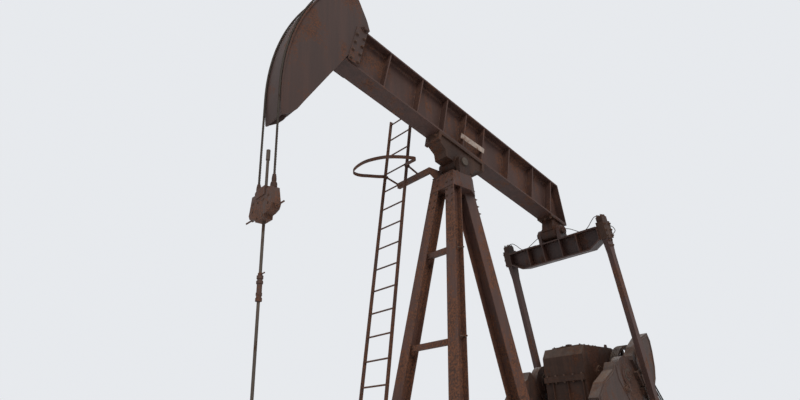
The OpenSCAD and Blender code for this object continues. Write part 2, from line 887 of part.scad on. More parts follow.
module equalizer() {
    bottom = -lug_drop - equalizer_depth;
    taper = 110;
    shape = [[-equalizer_half, -lug_drop], [-equalizer_half, bottom + taper],
        [-equalizer_half + 200, bottom], [equalizer_half - 200, bottom],
        [equalizer_half, bottom + taper], [equalizer_half, -lug_drop]];
    inner = [[-equalizer_half + 10, -lug_drop - steel_t], [-equalizer_half + 10, bottom + taper + steel_t],
        [-equalizer_half + 204, bottom + steel_t], [equalizer_half - 204, bottom + steel_t],
        [equalizer_half - 10, bottom + taper + steel_t], [equalizer_half - 10, -lug_drop - steel_t]];
    color(rusty) in_pitman() difference() {
        union() {
            difference() {
                crosswise(0, equalizer_w) polygon(shape);
                both_x() crosswise(equalizer_w / 4 + 8 + 1, equalizer_w / 2 - 14) polygon(inner);
            }
            both_sides() upright(lug_in + lug_t / 2, lug_t) {
                circle(tail_shaft_r + 45);
                polygon([[-tail_shaft_r - 45, 0], [tail_shaft_r + 45, 0],
                    [110, -lug_drop], [-110, -lug_drop]]);
            }
            for (y = [-450, -160, 160, 450]) {
                translate([-equalizer_w / 2, y - 8, bottom + 5])
                    cube([equalizer_w, 16, equalizer_depth - 5]);
            }
        }
        shaft_y(tail_shaft_r + run_gap, -1000, 1000);
    }
}

module both_x() {
    children();
    mirror([1, 0, 0]) children();
}

module equalizer_shaft() {
    color(bright) in_pitman()
        shaft_y(tail_shaft_r, -lug_in - lug_t - 25, lug_in + lug_t + 25);
}

module end_blocks() {
    color(dark) in_pitman() both_sides() {
        translate([-105, equalizer_half, -block_low]) cube([210, block_len, block_low - 70]);
        translate([-75, equalizer_half + 10, -70]) cube([150, block_len - 20, 80]);
    }
}

module pitman() {
    top = block_low;
    flare = 230;
    half = pitman_w / 2;
    in_pitman() difference() {
        upright(pitman_y, pitman_t) polygon([[-90, -top], [90, -top], [half, -top - flare],
            [half, -pitman_len], [-half, -pitman_len], [-half, -top - flare]]);
        translate([0, 0, -pitman_len]) shaft_y(wrist_r, 0, 2000);
    }
}

module pitmans() {
    color(rusty) both_sides() pitman();
}

weight_step = 40;
weight_out = crank_in + crank_t + weight_step;
weight_mid = weight_out - weight_t / 2;
wrist_len = 120;
wrist_in = pitman_y - wrist_len / 2;
wrist_out = pitman_y + wrist_len / 2;

module wrist_bearings() {
    color(dark) in_pitman() both_sides() translate([0, 0, -pitman_len]) {
        shaft_y(wrist_r, wrist_in, wrist_out);
        shaft_y(wrist_r - 45, wrist_out, wrist_out + 25);
    }
}

// Cranks and counterweights

module crankshaft() {
    color(bright) translate([crank_x, 0, crank_h])
        shaft_y(crankshaft_r, -crank_in - crank_t - 15, crank_in + crank_t + 15);
}

module crank() {
    half = crank_w / 2;
    nose = 90;
    mid = crank_in + crank_t / 2;
    in_crank() difference() {
        union() {
            upright(mid, crank_t) {
                circle(crank_heel);
                polygon([[0, -half], [crank_reach - nose, -half], [crank_reach, -half + nose],
                    [crank_reach, half - nose], [crank_reach - nose, half], [0, half]]);
            }
            shaft_y(150, crank_in - 30, crank_in);
            translate([crank_throw, 0, 0]) shaft_y(95, crank_in + crank_t, wrist_in - pass_gap);
            translate([crank_throw, 0, 0]) shaft_y(65, crank_in - 40, crank_in);
        }
        shaft_y(crankshaft_r + run_gap, 0, 2000);
        for (i = [-2, -1, 1]) {
            translate([crank_throw + i * pin_pitch, 0, 0]) shaft_y(45, 0, 2000);
        }
    }
}

module cranks() {
    color(iron) both_sides() crank();
}

// Weights on one edge of a crank: a large one by the shaft, a smaller one outside it.
// The large one's outline starts with the points of its heel, which are not the same on both edges.
module weight_pair(heel) {
    edge = crank_w / 2;
    inner = concat([[-100, 0]], heel, [[-182, 770], [-57, 765], [87, 693], [267, 568],
        [387, 439], [452, 308], [470, 180], [470, 0]]);
    outer = [[520, 0], [520, 222], [627, 252], [750, 340], [880, 420], [1050, 440], [1230, 390],
        [1350, 260], [1390, 0]];
    for (outline = [inner, outer]) {
        translate([0, edge]) polygon(outline);
    }
}

module counterweights() {
    color(iron) both_sides() in_crank() upright(weight_mid, weight_t) difference() {
        union() {
            weight_pair([[-150, 60], [-205, 260], [-225, 518]]);
            mirror([0, 1]) weight_pair([[-300, 20], [-323, 51], [-265, 164], [-265, 518]]);
        }
        circle(crank_heel + near_gap);
    }
}

// Wirelines, carrier bar and polished rod

socket_h = 150;
socket_r = 24;

module wire_free() {
    color(bright) {
        for (y = [-wire_spacing / 2, wire_spacing / 2]) {
            translate([-head_arm, y, carrier_top + socket_h])
                cylinder(h = pivot_h - wire_gap - carrier_top - socket_h, r = wire_r, $fn = 32);
        }
    }
}

module wire_sockets() {
    color(dark) {
        for (y = [-wire_spacing / 2, wire_spacing / 2]) {
            translate([-head_arm, y, carrier_top]) {
                cylinder(h = socket_h, r = socket_r);
                cylinder(h = 60, r = socket_r + 10);
            }
        }
    }
}

// The upper rod clamp sits in a notch in the middle of the bar
clamp_w = 170;
clamp_seat = carrier_top - 55;

module carrier_bar() {
    carrier_t = 100;
    half = carrier_len / 2;
    notch = clamp_w / 2 + 10;
    color(dark) difference() {
        union() {
            crosswise(-head_arm, carrier_t) polygon([
                [-half + 45, carrier_top], [-notch, carrier_top], [-notch, clamp_seat],
                [notch, clamp_seat], [notch, carrier_top], [half - 45, carrier_top],
                [half - 20, carrier_top - 110], [half, carrier_top - 190],
                [half - 25, carrier_top - 235], [half - 90, carrier_top - 255],
                [85, carrier_top - 260], [80, carrier_top - carrier_depth],
                [-80, carrier_top - carrier_depth], [-85, carrier_top - 260],
                [-half + 90, carrier_top - 255], [-half + 25, carrier_top - 235],
                [-half, carrier_top - 190], [-half + 20, carrier_top - 110]]);
            translate([-head_arm, 0, carrier_top - 215])
                shaft_y(9, -half - 140, half + 140);
        }
        translate([-head_arm, 0, 0]) cylinder(h = 5000, d = rod_d + 2 * near_gap);
    }
}

module rod_clamp(z0, z1, w, d) {
    difference() {
        translate([-head_arm - d / 2, -w / 2, z0]) cube([d, w, z1 - z0]);
        translate([-head_arm, 0, 0]) cylinder(h = 5000, d = rod_d + 2 * run_gap);
    }
}

module rod_clamps() {
    clamp_h = 95;
    low_z = 2315;
    color(iron) {
        rod_clamp(clamp_seat, clamp_seat + clamp_h, clamp_w, 120);
        difference() {
            translate([-head_arm, 0, low_z]) {
                cylinder(h = 240, r = rod_d / 2 + 10);
                cylinder(h = 30, r = rod_d / 2 + 16);
                translate([0, 0, 210]) cylinder(h = 30, r = rod_d / 2 + 16);
            }
            translate([-head_arm, 0, 0]) cylinder(h = 5000, d = rod_d + 2 * run_gap);
        }
    }
}

module polished_rod() {
    collar_h = 115;
    color(bright) translate([-head_arm, 0, rod_bottom]) {
        cylinder(h = rod_pin_len, d = rod_pin_d);
        translate([0, 0, rod_pin_len]) cylinder(h = rod_top - rod_bottom - rod_pin_len, d = rod_d);
        translate([0, 0, rod_top - rod_bottom - collar_h]) cylinder(h = collar_h, d = rod_d + 12);
    }
}

base_frame();
front_legs();
rear_leg();
leg_braces();
post_cap();
saddle_blocks();
saddle_shaft();
ladder_stiles();
ladder_rungs();
ladder_hoop();
ladder_arm();
gearbox_stand();
gearbox_case();
gearbox_cover();
bearing_caps();
input_shaft();
sheave();
brake_drum();
brake_band();
motor_stand();
motor();
motor_sheave();
belts();
walking_beam();
center_bearing();
tail_bearing();
head_sides();
head_face();
head_ribs();
wire_anchor();
wire_wrap();
equalizer();
equalizer_shaft();
end_blocks();
pitmans();
wrist_bearings();
crankshaft();
cranks();
counterweights();
wire_free();
wire_sockets();
carrier_bar();
rod_clamps();
polished_rod();
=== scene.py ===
# %% [markdown]
# # A pumpjack, dressed around its CAD frame
# The CAD model gives every solid its place. This script puts weathered materials on those solids
# and adds what a drawing leaves out: bolts, welds, wire rope, grease lines and worn paint.
# It starts by loading the frame, because every later piece is placed from it, in metres.

# %% Load the frame
import math
import bmesh
import bpy
from mathutils import Matrix, Vector


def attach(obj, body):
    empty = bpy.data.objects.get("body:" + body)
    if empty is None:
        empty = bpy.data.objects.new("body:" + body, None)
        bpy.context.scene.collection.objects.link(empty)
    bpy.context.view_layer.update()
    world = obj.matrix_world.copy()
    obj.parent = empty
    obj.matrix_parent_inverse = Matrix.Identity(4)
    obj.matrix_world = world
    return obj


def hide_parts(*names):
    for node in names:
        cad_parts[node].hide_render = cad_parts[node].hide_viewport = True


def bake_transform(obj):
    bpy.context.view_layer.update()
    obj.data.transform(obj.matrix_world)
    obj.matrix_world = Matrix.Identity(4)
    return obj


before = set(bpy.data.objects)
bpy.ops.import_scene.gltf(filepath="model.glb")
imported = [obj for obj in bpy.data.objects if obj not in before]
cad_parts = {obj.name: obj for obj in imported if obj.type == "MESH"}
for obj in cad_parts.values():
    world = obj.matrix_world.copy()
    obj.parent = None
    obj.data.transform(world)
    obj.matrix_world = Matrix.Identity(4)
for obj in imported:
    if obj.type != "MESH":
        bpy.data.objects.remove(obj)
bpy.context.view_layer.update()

# %% [markdown]
# ## The camera
# The photograph looks up at the machine from low down, ahead of it and to one side, through a
# wide lens. A camera can be aimed by a target, but this one was rolled a little as well, so it is
# simpler to build its three axes from yaw, pitch and roll and to hand Blender the whole matrix.

# %% Camera
PHOTO_WIDTH = 800
FOCAL_PIXELS = 543.0
SENSOR_WIDTH = 36.0
CAMERA_PLACE = Vector((-5.175, -4.5, 1.15))
CAMERA_YAW, CAMERA_PITCH, CAMERA_ROLL = (math.radians(a) for a in (47.49, 23.40, 2.31))


def make_camera():
    """A camera that stands and looks as the photograph's did."""
    forward = Vector((math.cos(CAMERA_PITCH) * math.cos(CAMERA_YAW),
                      math.cos(CAMERA_PITCH) * math.sin(CAMERA_YAW), math.sin(CAMERA_PITCH)))
    level = Vector((math.sin(CAMERA_YAW), -math.cos(CAMERA_YAW), 0))
    above = level.cross(forward)
    right = math.cos(CAMERA_ROLL) * level - math.sin(CAMERA_ROLL) * above
    up = math.sin(CAMERA_ROLL) * level + math.cos(CAMERA_ROLL) * above
    data = bpy.data.cameras.new("photo_camera")
    data.sensor_width = SENSOR_WIDTH
    data.lens = FOCAL_PIXELS / PHOTO_WIDTH * SENSOR_WIDTH
    data.dof.use_dof = False
    data.clip_end = 500
    camera = bpy.data.objects.new("photo_camera", data)
    camera.matrix_world = Matrix.Translation(CAMERA_PLACE) @ Matrix(
        (right, up, -forward)).transposed().to_4x4()
    bpy.context.collection.objects.link(camera)
    bpy.context.scene.camera = camera
    return camera


print("lens", round(make_camera().data.lens, 2), "mm")

# %% [markdown]
# ## The surround
# A studio look needs a pale surround. A painted backdrop could give it, but the world is simpler. Light
# Path tells it which rays come straight from the camera or by a reflection. Those see the pale colour,
# and the rays that light the object see a dimmer one, so a bright background doesn't bleach it.

# %% Surround
PALE = (0.80, 0.82, 0.85, 1)


def add(tree, kind, inputs=None, **settings):
    """Adds a node, sets its properties, and gives each named input a value or a link."""
    node = tree.nodes.new(kind)
    for key, value in settings.items():
        setattr(node, key, value)
    for key, value in (inputs or {}).items():
        if isinstance(value, bpy.types.NodeSocket):
            tree.links.new(value, node.inputs[key])
        else:
            node.inputs[key].default_value = value
    return node


def pale_rays(tree):
    """A value that is 1 for camera, glossy and transmission rays."""
    path = add(tree, "ShaderNodeLightPath")
    seen = add(tree, "ShaderNodeMath", {0: path.outputs["Is Camera Ray"],
                                       1: path.outputs["Is Glossy Ray"]}, operation="MAXIMUM")
    return add(tree, "ShaderNodeMath", {0: seen.outputs[0], 1: path.outputs["Is Transmission Ray"]},
               operation="MAXIMUM").outputs[0]


def make_world():
    """Pale where it is seen, and a soft grey light where it lights."""
    world = bpy.data.worlds.new("studio")
    world.use_nodes = True
    tree = world.node_tree
    tree.nodes.clear()
    light = add(tree, "ShaderNodeBackground", {"Color": (0.93, 0.96, 1, 1), "Strength": 0.75})
    shown = add(tree, "ShaderNodeBackground", {"Color": PALE, "Strength": 1.0})
    mixed = add(tree, "ShaderNodeMixShader", {0: pale_rays(tree), 1: light.outputs[0], 2: shown.outputs[0]})
    add(tree, "ShaderNodeOutputWorld", {0: mixed.outputs[0]})
    bpy.context.scene.world = world
    return world


bpy.context.scene.view_settings.view_transform = "Standard"
print("surround", make_world().name, "is seen as", PALE[:3])

# %% [markdown]
# ## The floor
# The machine needs something to stand on and to throw its shadow on.

# %% Floor
def make_floor(radius=90.0):
    """A round pale floor just under the feet."""
    mesh = bpy.data.meshes.new("floor")
    ring = bmesh.new()
    bmesh.ops.create_circle(ring, cap_ends=True, radius=radius, segments=64)
    ring.to_mesh(mesh)
    ring.free()
    floor = bpy.data.objects.new("floor", mesh)
    floor.location.z = -0.001
    bpy.context.collection.objects.link(floor)
    material = bpy.data.materials.new("pale_floor")
    material.use_nodes = True
    shader = material.node_tree.nodes["Principled BSDF"]
    shader.inputs["Base Color"].default_value = (0.74, 0.75, 0.77, 1)
    shader.inputs["Roughness"].default_value = 0.9
    mesh.materials.append(material)
    return floor


print("floor corners", len(make_floor().data.vertices))

# %% [markdown]
# ## The lamps
# Soft light could come from large area lamps. Two wide suns were chosen instead, because they light a
# machine of this length evenly from end to end: a warm one, and a weaker cool one from the other side.

# %% Lamps
def make_sun(name, strength, softness, pitch, turn, color):
    """A wide soft lamp, far away, so that it lights the whole machine alike."""
    data = bpy.data.lights.new(name, "SUN")
    data.energy = strength
    data.angle = math.radians(softness)
    data.color = color
    lamp = bpy.data.objects.new(name, data)
    lamp.rotation_euler = (math.radians(pitch), 0, math.radians(turn))
    bpy.context.collection.objects.link(lamp)


make_sun("key_lamp", 1.7, 28, 48, -28, (1, 0.97, 0.92))
make_sun("back_lamp", 0.8, 40, 55, 150, (0.9, 0.95, 1))

# %% [markdown]
# ## Helpers for shader nodes
# A shader can be wired node by node, but the same few moves come back all the time: a sum, a mix of
# colours, a smooth step and a noise. Each gets a short helper that adds the node and hands on its
# output, so that the recipes below read like the effects that they describe.

# %% Shader helpers
def new_group(name, inputs, outputs):
    """An empty shader group with named sockets, and its input and output nodes."""
    tree = bpy.data.node_groups.new(name, "ShaderNodeTree")
    for label, kind, value in inputs:
        socket = tree.interface.new_socket(label, in_out="INPUT", socket_type=kind)
        socket.default_value = value
    for label, kind in outputs:
        tree.interface.new_socket(label, in_out="OUTPUT", socket_type=kind)
    return tree, tree.nodes.new("NodeGroupInput").outputs, tree.nodes.new("NodeGroupOutput")


COLOR, FLOAT, VECTOR = "NodeSocketColor", "NodeSocketFloat", "NodeSocketVector"


def math_node(tree, operation, first, second, clamp=False):
    """The output of one sum."""
    return add(tree, "ShaderNodeMath", {0: first, 1: second}, operation=operation,
               use_clamp=clamp).outputs[0]


def blend_colors(tree, factor, first, second, how="MIX"):
    """The output of a colour mix."""
    node = add(tree, "ShaderNodeMix", data_type="RGBA", blend_type=how)
    for socket, value in zip((node.inputs[0], node.inputs[6], node.inputs[7]), (factor, first, second)):
        if isinstance(value, bpy.types.NodeSocket):
            tree.links.new(value, socket)
        else:
            socket.default_value = value
    return node.outputs[2]


def ramp(tree, value, low, high):
    """A smooth step of a value between two limits."""
    return add(tree, "ShaderNodeMapRange", {"Value": value, "From Min": low, "From Max": high},
               interpolation_type="SMOOTHSTEP").outputs[0]


def noise(tree, place, scale, detail, roughness):
    """The grey output of a noise."""
    return add(tree, "ShaderNodeTexNoise", {"Vector": place, "Scale": scale, "Detail": detail,
                                           "Roughness": roughness}).outputs[0]


print("socket kinds", COLOR, FLOAT, VECTOR)

# %% [markdown]
# ## Weathered paint as a node group
# Every part of this machine has the same story: dark red-brown paint that fades, chips along edges
# and lets rust through, with runs of rust below. That story is built once as a shader node group,
# with sockets for the colours and the amount of wear, and each finish gives it its own numbers.
# Three noises do the work: broad patches, fine grain, and one that is squeezed in X and Y so that it
# reads as vertical runs. The Bevel node finds edges without needing joined mesh.

# %% Weathered paint group
def make_weathering():
    """Faded paint, rust patches, rust runs and worn edges."""
    tree, given, result = new_group(
        "weathered_paint",
        (("Paint", COLOR, (0.05, 0.02, 0.015, 1)), ("Rust", COLOR, (0.12, 0.04, 0.02, 1)),
         ("Deep Rust", COLOR, (0.03, 0.014, 0.01, 1)), ("Wear", FLOAT, 0.5), ("Grain", FLOAT, 0.4),
         ("Scale", FLOAT, 1.0)),
        (("Color", COLOR), ("Roughness", FLOAT), ("Height", FLOAT)))
    place = add(tree, "ShaderNodeTexCoord").outputs["Object"]
    scaled = add(tree, "ShaderNodeVectorMath", {0: place, "Scale": given["Scale"]},
                 operation="SCALE").outputs[0]
    squeezed = add(tree, "ShaderNodeVectorMath", {0: scaled, 1: (11.0, 11.0, 0.7)},
                   operation="MULTIPLY").outputs[0]
    patches = noise(tree, scaled, 1.7, 9.0, 0.64)
    grain = noise(tree, scaled, 46.0, 6.0, 0.7)
    runs = noise(tree, squeezed, 1.0, 6.0, 0.6)
    edge = add(tree, "ShaderNodeBevel", {"Radius": 0.014}, samples=4)
    flat = add(tree, "ShaderNodeNewGeometry").outputs["True Normal"]
    turn = add(tree, "ShaderNodeVectorMath", {0: edge.outputs[0], 1: flat}, operation="DOT_PRODUCT")
    corner = ramp(tree, math_node(tree, "ADD", turn.outputs["Value"],
                                  math_node(tree, "MULTIPLY", grain, 0.16)), 1.04, 0.90)
    sum_a = math_node(tree, "ADD", patches, math_node(tree, "MULTIPLY", grain, 0.30))
    sum_b = math_node(tree, "ADD", sum_a, math_node(tree, "MULTIPLY", runs, 0.34))
    start = math_node(tree, "SUBTRACT", 0.98, math_node(tree, "MULTIPLY", given["Wear"], 0.34))
    rusted = ramp(tree, sum_b, start, math_node(tree, "ADD", start, 0.11))
    mask = math_node(tree, "MAXIMUM", rusted, math_node(tree, "MULTIPLY", corner, 0.8))
    faded = blend_colors(tree, ramp(tree, runs, 0.35, 0.75), given["Paint"],
                         blend_colors(tree, 1.0, given["Paint"], (1.5, 1.42, 1.36, 1), "MULTIPLY"))
    rust = blend_colors(tree, ramp(tree, grain, 0.38, 0.62), given["Deep Rust"], given["Rust"])
    tree.links.new(blend_colors(tree, mask, faded, rust), result.inputs["Color"])
    worn = math_node(tree, "MULTIPLY_ADD", mask, 0.26)
    worn.node.inputs[2].default_value = 0.56
    tree.links.new(math_node(tree, "ADD", worn, math_node(tree, "MULTIPLY", grain, 0.14), True),
                   result.inputs["Roughness"])
    height = math_node(tree, "MULTIPLY", grain, given["Grain"])
    tree.links.new(math_node(tree, "SUBTRACT", height, math_node(tree, "MULTIPLY", mask, 0.35)),
                   result.inputs["Height"])
    return tree


WEATHERING = make_weathering()
print("weathering nodes", len(WEATHERING.nodes))

# %% [markdown]
# ## Dust and oil
# Wind-blown dust settles where a surface faces up, so its mask is the height of the surface's own
# direction, broken up by noise. Oil creeps out round bearings, so its mask is the distance from a
# point. Both are groups too, because nearly every finish needs the first and several the second.

# %% Dust and oil groups
def make_dust():
    """Pale dust on what faces up."""
    tree, given, result = new_group(
        "settled_dust", (("Color", COLOR, (0.1, 0.1, 0.1, 1)), ("Dust", COLOR, (0.19, 0.14, 0.10, 1)),
                         ("Amount", FLOAT, 0.4)), (("Color", COLOR),))
    coords = add(tree, "ShaderNodeTexCoord").outputs
    up = add(tree, "ShaderNodeSeparateXYZ", {0: coords["Normal"]}).outputs[2]
    broken = noise(tree, coords["Object"], 7.0, 8.0, 0.7)
    mask = math_node(tree, "MULTIPLY", ramp(tree, up, 0.25, 0.95), ramp(tree, broken, 0.30, 0.66))
    share = math_node(tree, "MULTIPLY", mask, given["Amount"], True)
    tree.links.new(blend_colors(tree, share, given["Color"], given["Dust"]), result.inputs[0])
    return tree


def make_oil():
    """Dark oil round a point."""
    tree, given, result = new_group(
        "oil_stain", (("Color", COLOR, (0.1, 0.1, 0.1, 1)), ("Roughness", FLOAT, 0.7),
                      ("Centre", VECTOR, (0, 0, 0)), ("Reach", FLOAT, 0.4)),
        (("Color", COLOR), ("Roughness", FLOAT)))
    place = add(tree, "ShaderNodeTexCoord").outputs["Object"]
    away = add(tree, "ShaderNodeVectorMath", {0: place, 1: given["Centre"]}, operation="SUBTRACT")
    flat = add(tree, "ShaderNodeVectorMath", {0: away.outputs[0], 1: (1.0, 0.25, 0.7)},
               operation="MULTIPLY")
    far = add(tree, "ShaderNodeVectorMath", {0: flat.outputs[0]}, operation="LENGTH").outputs["Value"]
    share = math_node(tree, "DIVIDE", far, given["Reach"])
    broken = math_node(tree, "ADD", share, noise(tree, place, 9.0, 6.0, 0.65))
    mask = ramp(tree, broken, 1.55, 0.95)
    darker = blend_colors(tree, 1.0, given["Color"], (0.62, 0.52, 0.46, 1), "MULTIPLY")
    tree.links.new(blend_colors(tree, mask, given["Color"], darker), result.inputs["Color"])
    glossy = math_node(tree, "MULTIPLY", mask, 0.10)
    tree.links.new(math_node(tree, "SUBTRACT", given["Roughness"], glossy, True),
                   result.inputs["Roughness"])
    return tree


DUST = make_dust()
OIL = make_oil()
print("dust nodes", len(DUST.nodes), "oil nodes", len(OIL.nodes))

# %% [markdown]
# ## A function for a finish
# One function turns the groups into a finish. The Principled BSDF stays in the material, with the
# plain numbers on its own sockets. Finishes differ in colour, wear, grain and oil: paint on rolled
# steel, thicker grime on castings, bare rust on the ladder, dull bright metal on shafts.

# %% Finish function
def finish(name, paint, rust, deep, wear, grain=0.4, scale=1.0, metallic=0.0, dust=0.35, oil=(),
           bump=0.004, specular=0.4):
    """A weathered metal finish. Oil is a list of places and reaches."""
    material = bpy.data.materials.new(name)
    material.use_nodes = True
    tree = material.node_tree
    shader = tree.nodes["Principled BSDF"]
    base = add(tree, "ShaderNodeGroup", node_tree=WEATHERING)
    for label, value in (("Paint", (*paint, 1)), ("Rust", (*rust, 1)), ("Deep Rust", (*deep, 1)),
                         ("Wear", wear), ("Grain", grain), ("Scale", scale)):
        base.inputs[label].default_value = value
    color, roughness = base.outputs["Color"], base.outputs["Roughness"]
    for centre, reach in oil:
        stain = add(tree, "ShaderNodeGroup", node_tree=OIL)
        tree.links.new(color, stain.inputs["Color"])
        tree.links.new(roughness, stain.inputs["Roughness"])
        stain.inputs["Centre"].default_value = centre
        stain.inputs["Reach"].default_value = reach
        color, roughness = stain.outputs["Color"], stain.outputs["Roughness"]
    settled = add(tree, "ShaderNodeGroup", node_tree=DUST)
    settled.inputs["Amount"].default_value = dust
    tree.links.new(color, settled.inputs["Color"])
    tree.links.new(settled.outputs["Color"], shader.inputs["Base Color"])
    tree.links.new(roughness, shader.inputs["Roughness"])
    shader.inputs["Metallic"].default_value = metallic
    shader.inputs["Specular IOR Level"].default_value = specular
    relief = add(tree, "ShaderNodeBump", {"Strength": 0.7, "Distance": bump,
                                         "Height": base.outputs["Height"]})
    tree.links.new(relief.outputs[0], shader.inputs["Normal"])
    return material


PIVOT = Vector((0, 0, 4.572))
TAIL = Vector((2.2487, 0, 4.0535))
SHAFT = Vector((2.438, 0, 1.803))
WRIST = Vector((2.8550, 0, 1.0337))
print("oil comes from", *(tuple(round(v, 3) for v in place) for place in (PIVOT, TAIL, SHAFT, WRIST)))

# %% [markdown]
# ## Thirteen finishes
# The three colours of a finish are its paint, its rust and its deep rust. They are far darker than
# fresh paint: partly the real machine's grime, and partly painted shade, for a machine that stands
# against the light with its near faces in shade. Shafts, ropes, bolts and the bare plate keep
# a little metal in them.

# %% Finishes
# Painted shade: the paint colours below are darker than the machine's own grimy paint, for a machine standing
# against the light.
DEEP = (0.028, 0.013, 0.009)
BEAM_PAINT = finish("beam_paint", (0.038, 0.016, 0.011), (0.098, 0.035, 0.015), DEEP, 0.42,
                    oil=((PIVOT, 0.45), (TAIL, 0.4)))
HEAD_PAINT = finish("head_paint", (0.030, 0.013, 0.009), (0.085, 0.029, 0.012), DEEP, 0.38, scale=0.9)
POST_PAINT = finish("post_paint", (0.050, 0.021, 0.014), (0.125, 0.044, 0.018), DEEP, 0.62,
                    oil=((PIVOT + Vector((0, 0, -0.2)), 0.4),))
BASE_PAINT = finish("base_paint", (0.054, 0.027, 0.019), (0.120, 0.048, 0.022), DEEP, 0.66, dust=0.7)
LINK_PAINT = finish("link_paint", (0.036, 0.015, 0.011), (0.100, 0.036, 0.015), DEEP, 0.50,
                    oil=((TAIL, 0.45), (WRIST, 0.35)))
BARE_RUST = finish("bare_rust", (0.044, 0.020, 0.013), (0.108, 0.040, 0.017), DEEP, 0.72, grain=0.6,
                   scale=1.6)
CASTING = finish("grimy_casting", (0.034, 0.017, 0.011), (0.088, 0.033, 0.015), (0.022, 0.011, 0.008),
                 0.42, grain=0.9, scale=1.4, oil=((SHAFT, 0.6), (PIVOT, 0.3), (TAIL, 0.3)), bump=0.006,
                 specular=0.2)
WEIGHT_IRON = finish("weight_iron", (0.034, 0.018, 0.013), (0.092, 0.037, 0.018), DEEP, 0.55,
                     grain=1.0, scale=1.2, oil=((SHAFT, 0.35),), bump=0.007)
# Painted shade: shafts, polished rod, ropes and grease lines are bright steel painted far darker, partly
# grime and partly the shade of steel seen against the light.
SHADED_SHAFT_STEEL = finish("shaded_shaft_steel", (0.060, 0.046, 0.036), (0.075, 0.040, 0.023), (0.03, 0.017, 0.011), 0.45,
                     grain=0.15, scale=3.0, metallic=0.45, dust=0.1, bump=0.001)
SHADED_WIRE_STEEL = finish("shaded_wire_steel", (0.042, 0.036, 0.030), (0.060, 0.034, 0.021), (0.022, 0.015, 0.011), 0.35,
                    grain=0.3, scale=5.0, metallic=0.55, dust=0.1, bump=0.001)
BOLT_STEEL = finish("bolt_steel", (0.070, 0.050, 0.040), (0.130, 0.055, 0.028), DEEP, 0.55, grain=0.4,
                    scale=4.0, metallic=0.4, dust=0.2, bump=0.001)
PALE_STEEL = finish("pale_steel", (0.25, 0.20, 0.17), (0.17, 0.10, 0.065), (0.09, 0.045, 0.028), 0.34,
                    grain=0.2, scale=3.0, metallic=0.3, dust=0.1, bump=0.001)
RUBBER = finish("belt_rubber", (0.018, 0.017, 0.016), (0.040, 0.034, 0.028), (0.012, 0.011, 0.010), 0.45,
                grain=0.25, scale=3.0, dust=0.5, bump=0.001, specular=0.3)
print("last finish", RUBBER.name, "with", len(RUBBER.node_tree.nodes), "nodes")

# %% [markdown]
# ## Finishes on the CAD nodes
# Most CAD solids already have the right shape, so they stay and only get a finish. One table of finish
# and nodes is easier to check than a line for each node.

# %% Finishes on nodes
FINISH_OF = {
    BEAM_PAINT: ("walking_beam",),
    HEAD_PAINT: ("head_sides", "head_face", "head_ribs"),
    POST_PAINT: ("front_legs", "rear_leg", "leg_braces", "post_cap"),
    BASE_PAINT: ("base_frame", "gearbox_stand", "motor_stand"),
    LINK_PAINT: ("equalizer", "pitmans", "brake_band"),
    BARE_RUST: ("ladder_stiles", "ladder_rungs", "ladder_hoop", "ladder_arm", "wire_anchor",
                "rod_clamps", "carrier_bar"),
    CASTING: ("saddle_blocks", "center_bearing", "tail_bearing", "gearbox_case", "gearbox_cover",
              "bearing_caps", "sheave", "brake_drum", "motor", "motor_sheave", "end_blocks",
              "wrist_bearings", "wire_sockets"),
    WEIGHT_IRON: ("cranks", "counterweights"),
    SHADED_SHAFT_STEEL: ("saddle_shaft", "input_shaft", "equalizer_shaft", "crankshaft", "polished_rod"),
    SHADED_WIRE_STEEL: ("wire_wrap", "wire_free"),
    RUBBER: ("belts",),
}
for material, names in FINISH_OF.items():
    for name in names:
        node_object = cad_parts[name]
        node_object.data.materials.clear()
        node_object.data.materials.append(material)
print("finishes", len(FINISH_OF), "on", sum(len(n) for n in FINISH_OF.values()), "CAD nodes")

# %% [markdown]
# ## A Geometry Nodes tree for bolts
# The machine has hundreds of bolts. They could be copied one by one, but one tree makes them all. It
# places a bolt at each vertex of a bare point mesh, turned to the direction that the vertex keeps as
# an attribute and spun by a seeded random angle. It ends in Realize Instances and Set Material,
# because an export drops live instances.

# %% Bolt tree
def new_tree(name, sockets):
    """An empty geometry tree with a mesh going in and out, and named inputs for its sizes."""
    tree = bpy.data.node_groups.new(name, "GeometryNodeTree")
    tree.interface.new_socket("Geometry", in_out="INPUT", socket_type="NodeSocketGeometry")
    for label, kind in sockets:
        tree.interface.new_socket(label, in_out="INPUT", socket_type=kind)
    tree.interface.new_socket("Geometry", in_out="OUTPUT", socket_type="NodeSocketGeometry")
    return tree, tree.nodes.new("NodeGroupInput").outputs, tree.nodes.new("NodeGroupOutput")


def upright_disc(tree, sides, radius, depth, bottom):
    """A prism that stands on the height bottom."""
    solid = add(tree, "GeometryNodeMeshCylinder", {"Vertices": sides, "Radius": radius, "Depth": depth})
    middle = math_node(tree, "ADD", bottom, math_node(tree, "MULTIPLY", depth, 0.5))
    offset = add(tree, "ShaderNodeCombineXYZ", {2: middle})
    return add(tree, "GeometryNodeTransform", {"Geometry": solid.outputs["Mesh"],
                                               "Translation": offset.outputs[0]}).outputs[0]


